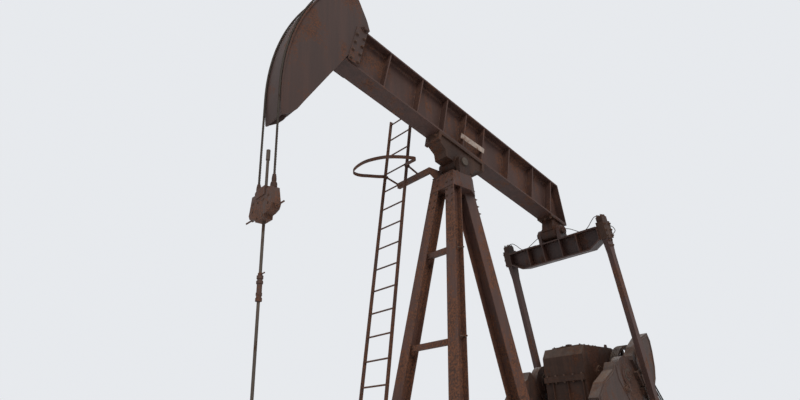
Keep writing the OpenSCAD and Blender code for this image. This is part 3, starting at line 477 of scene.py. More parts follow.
def make_bolt_tree():
    """A washer, a hexagon nut and a stud's end at each point, facing the point's own direction."""
    tree, given, result = new_tree("bolt_on_points", (
        ("Nut Radius", FLOAT), ("Nut Height", FLOAT), ("Washer Height", FLOAT), ("Stud Height", FLOAT),
        ("Material", "NodeSocketMaterial")))
    washer = upright_disc(tree, 16, math_node(tree, "MULTIPLY", given["Nut Radius"], 1.25),
                          given["Washer Height"], 0.0)
    nut = upright_disc(tree, 6, given["Nut Radius"], given["Nut Height"], given["Washer Height"])
    top = math_node(tree, "ADD", given["Washer Height"], given["Nut Height"])
    stud = upright_disc(tree, 10, math_node(tree, "MULTIPLY", given["Nut Radius"], 0.55),
                        given["Stud Height"], top)
    joined = add(tree, "GeometryNodeJoinGeometry")
    for part in (washer, nut, stud):
        tree.links.new(part, joined.inputs[0])
    facing = add(tree, "GeometryNodeInputNamedAttribute", {"Name": "facing"}, data_type="FLOAT_VECTOR")
    turned = add(tree, "FunctionNodeAlignRotationToVector", {"Vector": facing.outputs[0]}, axis="Z")
    spin = add(tree, "FunctionNodeRandomValue", {"Max": math.pi, "Seed": 7}, data_type="FLOAT")
    spun = add(tree, "FunctionNodeAxisAngleToRotation", {"Angle": spin.outputs["Value"]})
    both = add(tree, "FunctionNodeRotateRotation", {"Rotation": turned.outputs[0],
                                                    "Rotate By": spun.outputs[0]}, rotation_space="LOCAL")
    placed = add(tree, "GeometryNodeInstanceOnPoints", {
        "Points": given["Geometry"], "Instance": joined.outputs[0], "Rotation": both.outputs[0]})
    real = add(tree, "GeometryNodeRealizeInstances", {0: placed.outputs[0]})
    flat = add(tree, "GeometryNodeSetShadeSmooth", {"Geometry": real.outputs[0], "Shade Smooth": False})
    coated = add(tree, "GeometryNodeSetMaterial", {"Geometry": flat.outputs[0],
                                                   "Material": given["Material"]})
    tree.links.new(coated.outputs[0], result.inputs[0])
    return tree


BOLT_TREE = make_bolt_tree()
print("bolt tree nodes", len(BOLT_TREE.nodes))

# %% [markdown]
# ## A Geometry Nodes tree for swept lines
# Welds, ropes and tubes all follow a line, so a second tree sweeps a lobed section along edges. With
# ripples it is a weld, with twist it is wire rope, and plain it is a tube. A curve with a round bevel
# could only make the tube.

# %% Sweep tree
def make_sweep_tree():
    """A lobed section swept along edges, with twist and ripples along its length."""
    tree, given, result = new_tree("swept_line", (
        ("Radius", FLOAT), ("Lobes", "NodeSocketInt"), ("Depth", FLOAT), ("Twist", FLOAT),
        ("Ripple", FLOAT), ("Waves", FLOAT), ("Step", FLOAT), ("Material", "NodeSocketMaterial")))
    curve = add(tree, "GeometryNodeMeshToCurve", {"Mesh": given["Geometry"]})
    even = add(tree, "GeometryNodeResampleCurve", {"Curve": curve.outputs[0], "Length": given["Step"]},
               mode="LENGTH")
    along = add(tree, "GeometryNodeSplineParameter").outputs["Length"]
    tilt = add(tree, "GeometryNodeSetCurveTilt", {"Curve": even.outputs[0],
                                                  "Tilt": math_node(tree, "MULTIPLY", along, given["Twist"])})
    wave = add(tree, "ShaderNodeMath", {0: math_node(tree, "MULTIPLY", along, given["Waves"])},
               operation="SINE").outputs[0]
    swell = math_node(tree, "ADD", math_node(tree, "MULTIPLY", wave, given["Ripple"]), 1.0)
    sized = add(tree, "GeometryNodeSetCurveRadius", {"Curve": tilt.outputs[0], "Radius": swell})
    inner = math_node(tree, "MULTIPLY", given["Radius"], math_node(tree, "SUBTRACT", 1.0, given["Depth"]))
    section = add(tree, "GeometryNodeCurveStar", {"Points": given["Lobes"], "Inner Radius": inner,
                                                  "Outer Radius": given["Radius"]})
    swept = add(tree, "GeometryNodeCurveToMesh", {"Curve": sized.outputs[0],
                                                  "Profile Curve": section.outputs["Curve"],
                                                  "Fill Caps": True})
    smooth = add(tree, "GeometryNodeSetShadeSmooth", {"Geometry": swept.outputs[0], "Shade Smooth": True})
    real = add(tree, "GeometryNodeRealizeInstances", {0: smooth.outputs[0]})
    coated = add(tree, "GeometryNodeSetMaterial", {"Geometry": real.outputs[0],
                                                   "Material": given["Material"]})
    tree.links.new(coated.outputs[0], result.inputs[0])
    return tree


SWEEP_TREE = make_sweep_tree()
print("sweep tree nodes", len(SWEEP_TREE.nodes))

# %% [markdown]
# ## From a tree to a plain piece
# A tree's result is read back as a plain mesh, and the modifier is taken off again. Each piece that names a
# body then rides on it.


def run_tree(item, tree, values):
    """Gives an object the tree's result as its plain mesh, and takes the modifier off again."""
    modifier = item.modifiers.new(tree.name, "NODES")
    modifier.node_group = tree
    for socket in tree.interface.items_tree:
        if socket.item_type == "SOCKET" and socket.in_out == "INPUT" and socket.name in values:
            modifier[socket.identifier] = values[socket.name]
    bpy.context.view_layer.update()
    shaped = item.evaluated_get(bpy.context.evaluated_depsgraph_get())
    mesh = bpy.data.meshes.new_from_object(shaped)
    item.modifiers.remove(modifier)
    item.data = mesh
    return item


def settle(item, body):
    """Lets a piece ride on its body."""
    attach(item, body)
    print(item.name, "rides on", body, "with", len(item.data.polygons), "faces")
    return item


# %% [markdown]
# ## Bolts, tubes and welds by name
# These helpers turn a list of places or lines into one named piece, so that the cells below say only
# where things are and how big. A weld is the sweep with fixed ripples.

# %% Bolts, tubes and welds
def bolts(name, body, places, nut, height=None, stud=None, washer=None, material=BOLT_STEEL):
    """Bolts at a list of (place, facing), as one piece. Sizes go by the nut's radius."""
    mesh = bpy.data.meshes.new(name)
    mesh.from_pydata([p for p, _ in places], [], [])
    facing = mesh.attributes.new("facing", "FLOAT_VECTOR", "POINT")
    for i, (_, way) in enumerate(places):
        facing.data[i].vector = way
    item = bpy.data.objects.new(name, mesh)
    bpy.context.collection.objects.link(item)
    run_tree(item, BOLT_TREE, {
        "Nut Radius": nut, "Nut Height": height or nut * 0.9, "Washer Height": washer or nut * 0.2,
        "Stud Height": stud or nut * 0.35, "Material": material})
    return settle(item, body)


def sweep(name, paths, radius, material, body=None, lobes=5, depth=0.0, twist=0.0, ripple=0.0,
          waves=0.0, step=0.05):
    """Tubes, welds or ropes along lists of points, as one piece."""
    points, edges = [], []
    for path in paths:
        first = len(points)
        points += [Vector(p) for p in path]
        edges += [(i, i + 1) for i in range(first, len(points) - 1)]
    mesh = bpy.data.meshes.new(name)
    mesh.from_pydata(points, edges, [])
    item = bpy.data.objects.new(name, mesh)
    bpy.context.collection.objects.link(item)
    run_tree(item, SWEEP_TREE, {"Radius": radius, "Lobes": lobes, "Depth": depth, "Twist": twist,
                                "Ripple": ripple, "Waves": waves, "Step": step, "Material": material})
    if body:
        settle(item, body)
    return item


def weld(name, paths, body, material, radius=0.006):
    """A rippled weld bead along lists of points."""
    return sweep(name, paths, radius, material, body, lobes=4, depth=0.05, ripple=0.22, waves=520.0,
                 step=0.006)


print("helpers for named pieces", bolts.__name__, sweep.__name__, weld.__name__)

# %% [markdown]
# ## The frames of the moving parts
# In the photograph the beam is tilted, the pitmans lean and the cranks are turned. Their trim is easier
# to draw in each part's own straight frame, with its origin at the hinge, and a matrix then places it.

# %% Part frames
BEAM_TILT, PITMAN_LEAN, CRANK_ANGLE = (math.radians(a) for a in (14.4, 11.352, 61.54))
BEAM = Matrix.Translation(PIVOT) @ Matrix.Rotation(BEAM_TILT, 4, "Y")
PITMAN = Matrix.Translation(TAIL) @ Matrix.Rotation(-PITMAN_LEAN, 4, "Y")
CRANK = Matrix.Translation(SHAFT) @ Matrix.Rotation(CRANK_ANGLE, 4, "Y")
WORLD = Matrix.Identity(4)
SIDES = (-1, 1)
print("part frames at", *(tuple(round(v, 3) for v in m.translation) for m in (BEAM, PITMAN, CRANK)))

# %% [markdown]
# ## Plates, blocks and turned parts in mesh code
# Brackets, plates and castings are outlines with a thickness, with a small bevel so that the edges
# catch light. Bosses and caps are outlines turned about an axis, often one on each side of the machine.

# %% Outline helpers
def to_mesh(part, matrix):
    """Turns a temporary bmesh into a mesh in its place."""
    bmesh.ops.recalc_face_normals(part, faces=part.faces)
    part.transform(matrix)
    mesh = bpy.data.meshes.new("part")
    part.to_mesh(mesh)
    part.free()
    return mesh


def slab(outline, near, far, matrix=WORLD, bevel=0.002):
    """An outline in X and Z with a thickness from near to far in Y."""
    part = bmesh.new()
    face = part.faces.new([part.verts.new((x, near, z)) for x, z in outline])
    moved = bmesh.ops.extrude_face_region(part, geom=[face])
    bmesh.ops.translate(part, vec=(0, far - near, 0),
                        verts=[v for v in moved["geom"] if isinstance(v, bmesh.types.BMVert)])
    if bevel:
        bmesh.ops.bevel(part, geom=part.edges[:], offset=bevel, segments=1, affect="EDGES")
    return to_mesh(part, matrix)


def block(first, last, matrix=WORLD, bevel=0.002):
    """A box between two opposite corners."""
    low, high = zip(*(sorted(ends) for ends in zip(first, last)))
    return slab([(low[0], low[2]), (high[0], low[2]), (high[0], high[2]), (low[0], high[2])],
                low[1], high[1], matrix, bevel)


def turned(outline, centre, matrix=WORLD, steps=28, axis="Y"):
    """An outline of (radius, place along the axis) turned about a line through the centre."""
    part = bmesh.new()
    rings = []
    for radius, along in outline:
        rings.append([part.verts.new((radius * math.cos(a), along, radius * math.sin(a)))
                      for a in (2 * math.pi * i / steps for i in range(steps))])
    for low, high in zip(rings, rings[1:]):
        for i in range(steps):
            j = (i + 1) % steps
            part.faces.new((low[i], low[j], high[j], high[i]))
    part.faces.new(rings[0])
    part.faces.new(rings[-1])
    stand = Matrix.Rotation(math.radians(90), 4, "X") if axis == "Z" else Matrix.Identity(4)
    return to_mesh(part, matrix @ Matrix.Translation(centre) @ stand)


def caps(outline, centre, matrix=WORLD, steps=28):
    """Two turned parts, from an outline of (radius, distance from the middle plane)."""
    return [turned([(radius, side * y) for radius, y in outline], centre, matrix, steps) for side in SIDES]


print("helpers for parts", slab.__name__, block.__name__, turned.__name__, caps.__name__)

# %% [markdown]
# ## Joined pieces and places for bolts
# One helper joins parts into one named piece, smooth where the faces meet at a low angle and sharp
# where they don't. The others lay out places for bolts, in rows or on a circle.

# %% Pieces and places
def piece(name, parts, body, material, angle=32):
    """Joins parts into one named piece that rides on a body."""
    whole = bmesh.new()
    for part in parts:
        whole.from_mesh(part)
        bpy.data.meshes.remove(part)
    mesh = bpy.data.meshes.new(name)
    whole.to_mesh(mesh)
    whole.free()
    mesh.shade_smooth()
    mesh.set_sharp_from_angle(angle=math.radians(angle))
    mesh.materials.append(material)
    item = bpy.data.objects.new(name, mesh)
    bpy.context.collection.objects.link(item)
    return settle(item, body)


def at(matrix, place, way):
    """A place and a direction in a part's own frame, in the shared frame."""
    return matrix @ Vector(place), matrix.to_3x3() @ Vector(way)


def ring(matrix, centre, radius, count, way, start=0.0):
    """Places on a circle about the Y axis, all facing way."""
    turns = (start + 2 * math.pi * i / count for i in range(count))
    return [at(matrix, (centre[0] + radius * math.cos(a), centre[1], centre[2] + radius * math.sin(a)), way)
            for a in turns]


def grid(xs, ys, z, way=(0, 0, 1), matrix=WORLD):
    """Places in rows at one height, all facing way."""
    return [at(matrix, (x, y, z), way) for x in xs for y in ys]


print("helpers for places", at.__name__, ring.__name__, grid.__name__)

# %% [markdown]
# ## The horsehead
# The horsehead is two flame-cut side plates, a rolled face and ribs, welded together and bolted to
# the end of the beam. The CAD solids have that shape. What makes it read as steelwork is the weld
# along the face, the rows of bolts, the pin it hangs from and the clamps that hold the wire rope.

# %% Horsehead trim
FACE_IN = 2.8172
PLATE_OUT = 0.150
HANGER = (-1.985, 0, 0.93)
CLAMP_TURN = BEAM @ Matrix.Rotation(math.radians(31.3), 4, "Y")


def on_arc(radius, degrees, y):
    """A point on the head's arc, by its angle above the beam's own level."""
    a = math.radians(degrees)
    return BEAM @ Vector((-radius * math.cos(a), y, radius * math.sin(a)))


def arc(radius, low, high, y, step=1.0):
    """Points along the head's arc."""
    count = max(2, round((high - low) / step))
    return [on_arc(radius, low + (high - low) * i / count, y) for i in range(count + 1)]


weld("head_seams", [arc(FACE_IN - 0.004, -20.8, 32.2, s * (PLATE_OUT + 0.002)) for s in SIDES], "beam",
     HEAD_PAINT)
head_parts = [turned([(0.052, 0.150), (0.052, 0.172), (0.046, 0.174)], HANGER, BEAM),
              turned([(0.052, -0.172), (0.052, -0.150), (0.046, -0.152)], HANGER, BEAM),
              turned([(0.028, -0.196), (0.028, 0.196)], HANGER, BEAM)]
head_parts += [block((-2.10, side * (PLATE_OUT + 0.001), 0.30), (-1.93, side * (PLATE_OUT + 0.011), 0.90),
                     BEAM, 0.003) for side in SIDES]
head_parts += caps([(0.040, 0.176), (0.040, 0.190)], HANGER, BEAM, 6)
piece("head_hangers", head_parts, "beam", HEAD_PAINT)
bolts("head_bolts", "beam", [at(BEAM, (x, s * (PLATE_OUT + 0.011), z), (0, s, 0))
                             for s in SIDES for x in (-2.07, -1.96) for z in (0.34, 0.48, 0.62, 0.76)],
      0.019)
piece("wire_clamps", [block((-2.896, y - 0.032, -0.032), (-2.862, y + 0.032, 0.032), CLAMP_TURN, 0.004)
                      for y in (-0.155, 0.155)], "beam", CASTING)
bolts("wire_clamp_bolts", "beam", grid((-2.896,), (-0.176, -0.134, 0.134, 0.176), 0, (-1, 0, 0), CLAMP_TURN),
      0.008)

# %% [markdown]
# ## Wire rope
# Two ropes run from clamps on the head, down over its face, to the carrier bar. A rope is strands laid
# round each other, so a lobed section is swept and twisted: six lobes and one turn in about seven
# diameters. The part on the head follows the head's arc, and the hanging part drops straight to the
# carrier. Both are baked in place and ride on no body.

# %% Wire ropes
HEAD_ARM = 2.850
ROPE_RADIUS = 0.0125
ROPE_TWIST = 2 * math.pi / 0.175
ROPE_Y = (-0.155, 0.155)
LEVEL = -14.4
HANG_TOP, HANG_LENGTH, HANG_STEPS = 4.572, 1.024, 51
CARRIER_TOP = 3.400
SOCKET_TOP = CARRIER_TOP + 0.150

wrap = sweep("rope_on_head", [arc(HEAD_ARM, LEVEL, 30.5, y) for y in ROPE_Y], ROPE_RADIUS, SHADED_WIRE_STEEL,
             lobes=6, depth=0.2, twist=ROPE_TWIST, step=0.010)
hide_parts("wire_wrap")
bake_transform(wrap)
hang = sweep("rope_hanging", [[(-HEAD_ARM, y, HANG_TOP - HANG_LENGTH * i / HANG_STEPS)
                               for i in range(HANG_STEPS + 1)] for y in ROPE_Y], ROPE_RADIUS, SHADED_WIRE_STEEL,
             lobes=6, depth=0.2, twist=ROPE_TWIST, step=0.010)
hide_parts("wire_free")
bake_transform(hang)
print("rope points", len(wrap.data.vertices), len(hang.data.vertices))

# %% [markdown]
# ## The carrier bar and the polished rod
# Each rope ends in a poured socket that the carrier bar holds. The bar carries the polished rod through
# a clamp. The sockets are turned parts with a tapered neck, so they replace the plain CAD cylinders.
# The bar's pin gets collars, bar and clamp their bolts, and the rod's coupling its nuts and a lever.

# %% Carrier details
SOCKET = [(0.034, CARRIER_TOP), (0.034, 3.44), (0.030, 3.456), (0.024, 3.462), (0.024, 3.50),
          (0.021, 3.525), (0.017, SOCKET_TOP - 0.003), (0.014, SOCKET_TOP)]
sockets = piece("rope_sockets", [turned(SOCKET, (-HEAD_ARM, y, 0), axis="Z") for y in ROPE_Y], "carrier",
                CASTING)
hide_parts("wire_sockets")
piece("carrier_pin_collars", caps([(0.020, 0.2285), (0.020, 0.246)], (-HEAD_ARM, 0, 3.185)), "carrier",
      BARE_RUST)
bolts("carrier_bolts", "carrier", [
    ((-HEAD_ARM + s * 0.050, y, z), (s, 0, 0)) for s in SIDES for y, z in (
        (-0.15, 3.235), (-0.15, 3.315), (0.15, 3.235), (0.15, 3.315), (-0.055, 3.135), (0.055, 3.135),
        (-0.055, 3.30), (0.055, 3.30))], 0.012, height=0.005, stud=0.002, washer=0.002)
CLAMP_MID = CARRIER_TOP - 0.055 + 0.0475
bolts("clamp_bolts", "carrier", [((-HEAD_ARM + dx, s * 0.085, CLAMP_MID + dz), (0, s, 0))
                                 for s in SIDES for dx in (-0.034, 0.034) for dz in (-0.022, 0.024)],
      0.013, stud=0.016)
coupling_parts = [block((-HEAD_ARM - 0.004, -0.085, 2.562), (-HEAD_ARM + 0.004, -0.012, 2.574), WORLD, 0.001)]
for outline, steps in (([(0.036, 2.480), (0.036, 2.503), (0.031, 2.506)], 6),
                       ([(0.022, 2.555), (0.022, 2.580), (0.018, 2.584)], 16),
                       ([(0.033, 2.370), (0.033, 2.392)], 6)):
    coupling_parts.append(turned(outline, (-HEAD_ARM, 0, 0), steps=steps, axis="Z"))
piece("rod_coupling", coupling_parts, "carrier", BARE_RUST)

# %% [markdown]
# ## The walking beam
# A rolled beam has a rounded root where web meets flange, welded stiffeners, and bolts through its
# flange at the two bearings. The root is a thin four-sided strip in each bay between the stiffeners. On
# the near side a pale bare plate lies across the edges of two stiffeners, as in the photograph.

# %% Beam details
WEB_HALF, FLANGE = 0.008, 0.025
BEAM_LOW, BEAM_HIGH = 0.284, 0.942
STIFFENERS = (-1.5, -0.9, -0.4, 0.0, 0.4, 1.0, 1.6, 2.087)
root_parts = []
bays = [-2.13] + [x for s in STIFFENERS for x in (s, s + 0.02)] + [2.23]
for first, last in zip(bays[::2], bays[1::2]):
    for side in SIDES:
        for z, way in ((BEAM_LOW + FLANGE, 1), (BEAM_HIGH - FLANGE, -1)):
            part = bmesh.new()
            corners = [(side * WEB_HALF, z), (side * (WEB_HALF + 0.022), z),
                       (side * (WEB_HALF + 0.007), z + way * 0.007), (side * WEB_HALF, z + way * 0.022)]
            ends = [[part.verts.new((x, y, v)) for y, v in corners] for x in (first, last)]
            for i in range(4):
                part.faces.new((ends[0][i], ends[0][(i + 1) % 4], ends[1][(i + 1) % 4], ends[1][i]))
            part.faces.new(ends[0])
            part.faces.new(ends[1][::-1])
            root_parts.append(to_mesh(part, BEAM))
piece("beam_roots", root_parts, "beam", BEAM_PAINT)
weld("stiffener_welds", [[BEAM @ Vector((x + dx, side * WEB_HALF * 1.3, BEAM_LOW + 0.06)),
                          BEAM @ Vector((x + dx, side * WEB_HALF * 1.3, BEAM_HIGH - 0.06))]
                         for x in STIFFENERS for dx in (0.0, 0.02) for side in SIDES], "beam", BEAM_PAINT)
STRIP = [(-0.060, 0.425), (0.440, 0.452), (0.444, 0.545), (-0.056, 0.518)]
piece("bare_strip", [slab(STRIP, -0.1315, -0.1275, BEAM, 0.0008)], "beam", PALE_STEEL)
bolts("beam_bolts", "beam", grid((-0.34, -0.22, -0.10, 0.12, 0.24, 0.36, 2.14, 2.22, 2.32, 2.42),
                                 (-0.092, 0.092), BEAM_LOW + FLANGE, matrix=BEAM), 0.021)
bolts("beam_nuts", "beam", grid((2.135, 2.448), (-0.1, 0, 0.1), BEAM_LOW - 0.030, (0, 0, -1), BEAM)
      + [at(BEAM, (side * 0.470, y, 0.21), (side, 0, 0)) for side in SIDES for y in (-0.08, 0.08)],
      0.019)
piece("bearing_covers", caps([(0.118, 0.116), (0.118, 0.123), (0.100, 0.128)], (0, 0, 0), BEAM)
      + caps([(0.100, 0.126), (0.100, 0.133), (0.085, 0.138)], (2.307, 0, 0.057), BEAM), "beam", CASTING)
bolts("bearing_cover_bolts", "beam", [
    p for side in SIDES for p in ring(BEAM, (0, side * 0.123, 0), 0.107, 8, (0, side, 0))], 0.008,
      height=0.005, stud=0.002)

# %% [markdown]
# ## The post
# The Samson post is three rolled legs under a boxed cap. Small gussets stiffen its feet, and bolts hold
# the feet down and sit on the cap. The gussets are plates from the helpers above.

# %% Post feet and cap
CAP_TOP, CAP_BOTTOM = 4.382, 4.150
LEG_FOOT, LEG_HEAD = Vector((-1.056, 0.628, 0)), Vector((-0.212, 0.142, CAP_BOTTOM))
FOOT = 0.275
REAR_GUSSET = [(1.18, FOOT), (1.33, FOOT), (1.27, 0.42), (1.17, 0.42)]
foot_parts = [block((LEG_FOOT.x + dx, side * LEG_FOOT.y - 0.09, FOOT),
                    (LEG_FOOT.x + dx + 0.012, side * LEG_FOOT.y + 0.09, 0.36))
              for side in SIDES for dx in (-0.075, 0.063)]
foot_parts += [slab(REAR_GUSSET, dy, dy + 0.012) for dy in (-0.115, 0.103)]
piece("post_gussets", foot_parts, "base", POST_PAINT)
post_places = grid((-1.100, -1.012), (-0.540, -0.716), FOOT) + grid((-1.100, -1.012), (0.540, 0.716), FOOT)
post_places += grid((1.205, 1.307), (-0.133, 0.133), FOOT)
post_places += [((x, side * 0.162, CAP_TOP), (0, 0, 1)) for side in SIDES for x in (-0.135, 0.132)]
bolts("post_bolts", "base", post_places, 0.020)

# %% [markdown]
# ## Bolts on the sloping legs
# Rows of bolts and rivets climb the rear leg and the two front legs to the cap. The legs slope, so each
# place and its direction are worked out from the leg's own line, at a chosen height.

# %% Leg bolts
def leg_face(foot_x, head_x, half, z):
    """A place on the outer face of a leg's line at a height, and the way that the face looks."""
    slope = (head_x - foot_x) / CAP_BOTTOM
    way = Vector((math.copysign(1, half), 0, -math.copysign(1, half) * slope)).normalized()
    return foot_x + slope * z + half * math.sqrt(1 + slope * slope), way


FRONT_LEG, REAR_LEG = (-1.056, -0.212), (1.256, 0.167)
rear_places, front_places = [], []
for z in (4.33, 4.23, 4.11, 4.01, 3.91):
    rear_x, rear_way = leg_face(*REAR_LEG, 0.1005, z)
    if z > CAP_BOTTOM:
        rear_x, rear_way = 0.270 - (z - CAP_BOTTOM) * 0.263, Vector((1, 0, 0.263)).normalized()
    front_x, front_way = leg_face(*FRONT_LEG, -0.0755, z)
    leg_y = 0.628 + (0.142 - 0.628) * z / CAP_BOTTOM
    rear_places += [((rear_x, side * 0.086, z), rear_way) for side in SIDES]
    front_places += [((front_x, side * (leg_y + dy), z), front_way)
                     for side in SIDES for dy in (-0.048, 0.048)]
bolts("post_rear_bolts", "base", rear_places, 0.015, washer=0.004, height=0.013, stud=0.028)
bolts("post_front_rivets", "base", front_places, 0.015, washer=0.002, height=0.010, stud=0.004)

# %% [markdown]
# ## Braces and head welds
# The braces end at the front legs, where bolts hold them and pegs stick out past the legs. The box at
# the post's head has a weld along the top and the bottom of its front.

# %% Braces and head welds
def on_leg(z, side):
    """The middle of a front leg at a height."""
    share = z / CAP_BOTTOM
    p = LEG_FOOT.lerp(LEG_HEAD, share)
    return Vector((p.x, side * p.y, z))


brace_places = []
for z in (2.05, 3.20):
    for side in SIDES:
        leg = on_leg(z + 0.04, side)
        brace_places += [((leg.x - 0.0325, leg.y - side * d, z + 0.04), (-1, 0, 0)) for d in (0.035, 0.085)]
bolts("brace_bolts", "base", brace_places, 0.013)
peg_parts = []
for z, side in ((3.26, 1), (2.13, -1), (2.09, 1), (3.24, -1)):
    leg = on_leg(z, side)
    peg = Matrix.Translation(leg) @ Matrix.Rotation(math.radians(-42 * side), 4, "Z")
    peg_parts.append(turned([(0.009, side * 0.03), (0.009, side * 0.115)], (0, 0, 0), peg, 10))
    peg_parts.append(turned([(0.016, side * 0.088), (0.016, side * 0.102)], (0, 0, 0), peg, 6))
piece("brace_pegs", peg_parts, "base", BOLT_STEEL)

seam_paths = []
for side in SIDES:
    for z in (CAP_BOTTOM, CAP_TOP - 0.004):
        front_x, _ = leg_face(*FRONT_LEG, -0.0770, z)
        seam_paths.append([(front_x, side * 0.002, z), (front_x, side * (0.196 + (CAP_TOP - z) * 0.1), z)])
weld("head_welds", seam_paths, "base", POST_PAINT, 0.005)

# %% [markdown]
# ## The ladder
# The rungs pass through the stiles and are welded outside, which shows as a row of round ends. Each
# weld is a bead bent round a rung's end, and two bolts hold the hoop.

# %% Ladder details
LADDER_Y, LADDER_HALF, STILE_T = 0.740, 0.230, 0.012
LADDER_LEAN = math.radians(8.96)
RUNGS, TOP_RUNG_X, TOP_RUNG_Z = 18, -0.2845, 5.604
RUNG_STEP = 0.3048 * math.cos(LADDER_LEAN)
rung_places = []
for i in range(RUNGS):
    z = TOP_RUNG_Z - i * RUNG_STEP
    x = TOP_RUNG_X - (TOP_RUNG_Z - z) * math.tan(LADDER_LEAN)
    rung_places += [((x, LADDER_Y + s * (LADDER_HALF + STILE_T), z), (0, s, 0)) for s in SIDES]
bolts("rung_ends", "base", rung_places, 0.011, height=0.003, stud=0.001, washer=0.002, material=BARE_RUST)
RUNG_WELD = [(0.0125 * math.cos(k * math.pi / 6), 0.0125 * math.sin(k * math.pi / 6)) for k in range(13)]
weld("rung_welds", [[(p[0] + dx, p[1] - w[1] * (STILE_T + 0.001), p[2] + dz) for dx, dz in RUNG_WELD]
                    for p, w in rung_places], "base", BARE_RUST, 0.0035)
bolts("hoop_bolts", "base", [((-0.474, LADDER_Y + s * 0.236, 4.660), (-1, 0, 0)) for s in SIDES], 0.010)

# %% [markdown]
# ## The gearbox's bolts
# The gearbox is a casting in two halves. Bolts run along its end flanges, round the bearing caps and
# round the lid. They come from rows and rings, so the counts are easy to change.

# %% Gearbox bolts
GEAR_FRONT, GEAR_REAR, GEAR_HALF = 2.008, 3.380, 0.330
GEAR_BOTTOM, SPLIT, GEAR_TOP = 1.253, 1.803, 2.243
INPUT_X = 3.080
gear_places = []
for x in (GEAR_FRONT - 0.018, GEAR_REAR + 0.018):
    for y in (-0.28, -0.14, 0.0, 0.14, 0.28):
        gear_places += [((x, y, SPLIT + 0.04), (0, 0, 1)), ((x, y, SPLIT - 0.04), (0, 0, -1)),
                        ((x, y, GEAR_BOTTOM + 0.04), (0, 0, 1))]
bolts("gearbox_bolts", "base", gear_places, 0.015)
LID_TOP = GEAR_TOP + 0.022
bolts("lid_bolts", "base", grid([GEAR_FRONT + x for x in (0.175, 0.30, 0.42, 0.54, 0.605)],
                                (-0.215, 0.215), LID_TOP)
      + grid([GEAR_FRONT + x for x in (0.175, 0.605)], (-0.07, 0.07), LID_TOP), 0.011)
cap_places = []
for side in SIDES:
    cap_y = side * (GEAR_HALF + 0.028)
    cap_places += ring(WORLD, (SHAFT.x, cap_y, SPLIT), 0.145, 10, (0, side, 0))
    cap_places += ring(WORLD, (INPUT_X, cap_y, SPLIT), 0.078, 6, (0, side, 0))
    cap_places += ring(WORLD, (SHAFT.x + 0.33, cap_y, SPLIT), 0.098, 8, (0, side, 0), 0.2)
bolts("cap_bolts", "base", cap_places, 0.011)

# %% [markdown]
# ## The gearbox's fittings
# Cast ribs stiffen the end walls, and two lugs on top take a lifting hook. A breather and a plug stand
# on the lid, and a drain plug sits low in the front wall. They are castings too, so they are one piece.

# %% Gearbox fittings
rib_parts = [slab([(end, GEAR_BOTTOM + 0.04), (end + out * 0.03, GEAR_BOTTOM + 0.04),
                   (end + out * 0.022, SPLIT - 0.04), (end, SPLIT - 0.04)], y - 0.05, y - 0.036)
             for y in (-0.24, 0.0, 0.24) for end, out in ((GEAR_FRONT, -1), (GEAR_REAR, 1))]
top = GEAR_TOP + 0.050
rib_parts.append(turned([(0.045, top - 0.022), (0.048, top - 0.010), (0.044, top), (0.018, top + 0.005)],
                        (GEAR_FRONT + 0.230, 0, 0), axis="Z"))
rib_parts.append(turned([(0.030, GEAR_TOP + 0.022), (0.030, GEAR_TOP + 0.036), (0.022, GEAR_TOP + 0.042)],
                        (GEAR_FRONT + 0.560, -0.090, 0), steps=8, axis="Z"))
LIFT_LUG = [(2.90, GEAR_TOP), (3.00, GEAR_TOP - 0.005), (2.97, GEAR_TOP + 0.075), (2.93, GEAR_TOP + 0.075)]
rib_parts += [slab(LIFT_LUG, y - 0.012, y + 0.012, WORLD, 0.004) for y in (-0.2, 0.2)]
rib_parts.append(turned([(0.030, GEAR_FRONT - 0.012), (0.030, GEAR_FRONT + 0.002)], (0, 0, 0),
                        Matrix.Translation((0, 0.12, 1.33)) @ Matrix.Rotation(math.radians(-90), 4, "Z"), 6))
piece("gearbox_fittings", rib_parts, "base", CASTING)

# %% [markdown]
# ## Sheaves and brake
# The large sheave and the brake drum sit on either side of the gearbox on one shaft, and the small
# sheave on the motor's. A ring of bolts holds each hub, and a lever works the brake band.

# %% Sheaves and brake
SHEAVE_Y, DRUM_Y = -0.432, 0.370
MOTOR_X, MOTOR_H = 4.450, 0.700
hub_places = ring(WORLD, (INPUT_X, SHEAVE_Y - 0.062, SPLIT), 0.062, 6, (0, -1, 0))
hub_places += ring(WORLD, (MOTOR_X, SHEAVE_Y - 0.062, MOTOR_H), 0.052, 4, (0, -1, 0))
hub_places += ring(WORLD, (INPUT_X, DRUM_Y + 0.100, SPLIT), 0.052, 5, (0, 1, 0))
bolts("hub_bolts", "base", hub_places, 0.009)
brake_parts = [block((INPUT_X - 0.075, 0.405, 2.060), (INPUT_X + 0.078, 0.429, 2.078), WORLD, 0.003),
               block((INPUT_X + 0.060, 0.402, 1.95), (INPUT_X + 0.078, 0.432, 2.20), WORLD, 0.004)]
piece("brake_lever", brake_parts, "base", BARE_RUST)
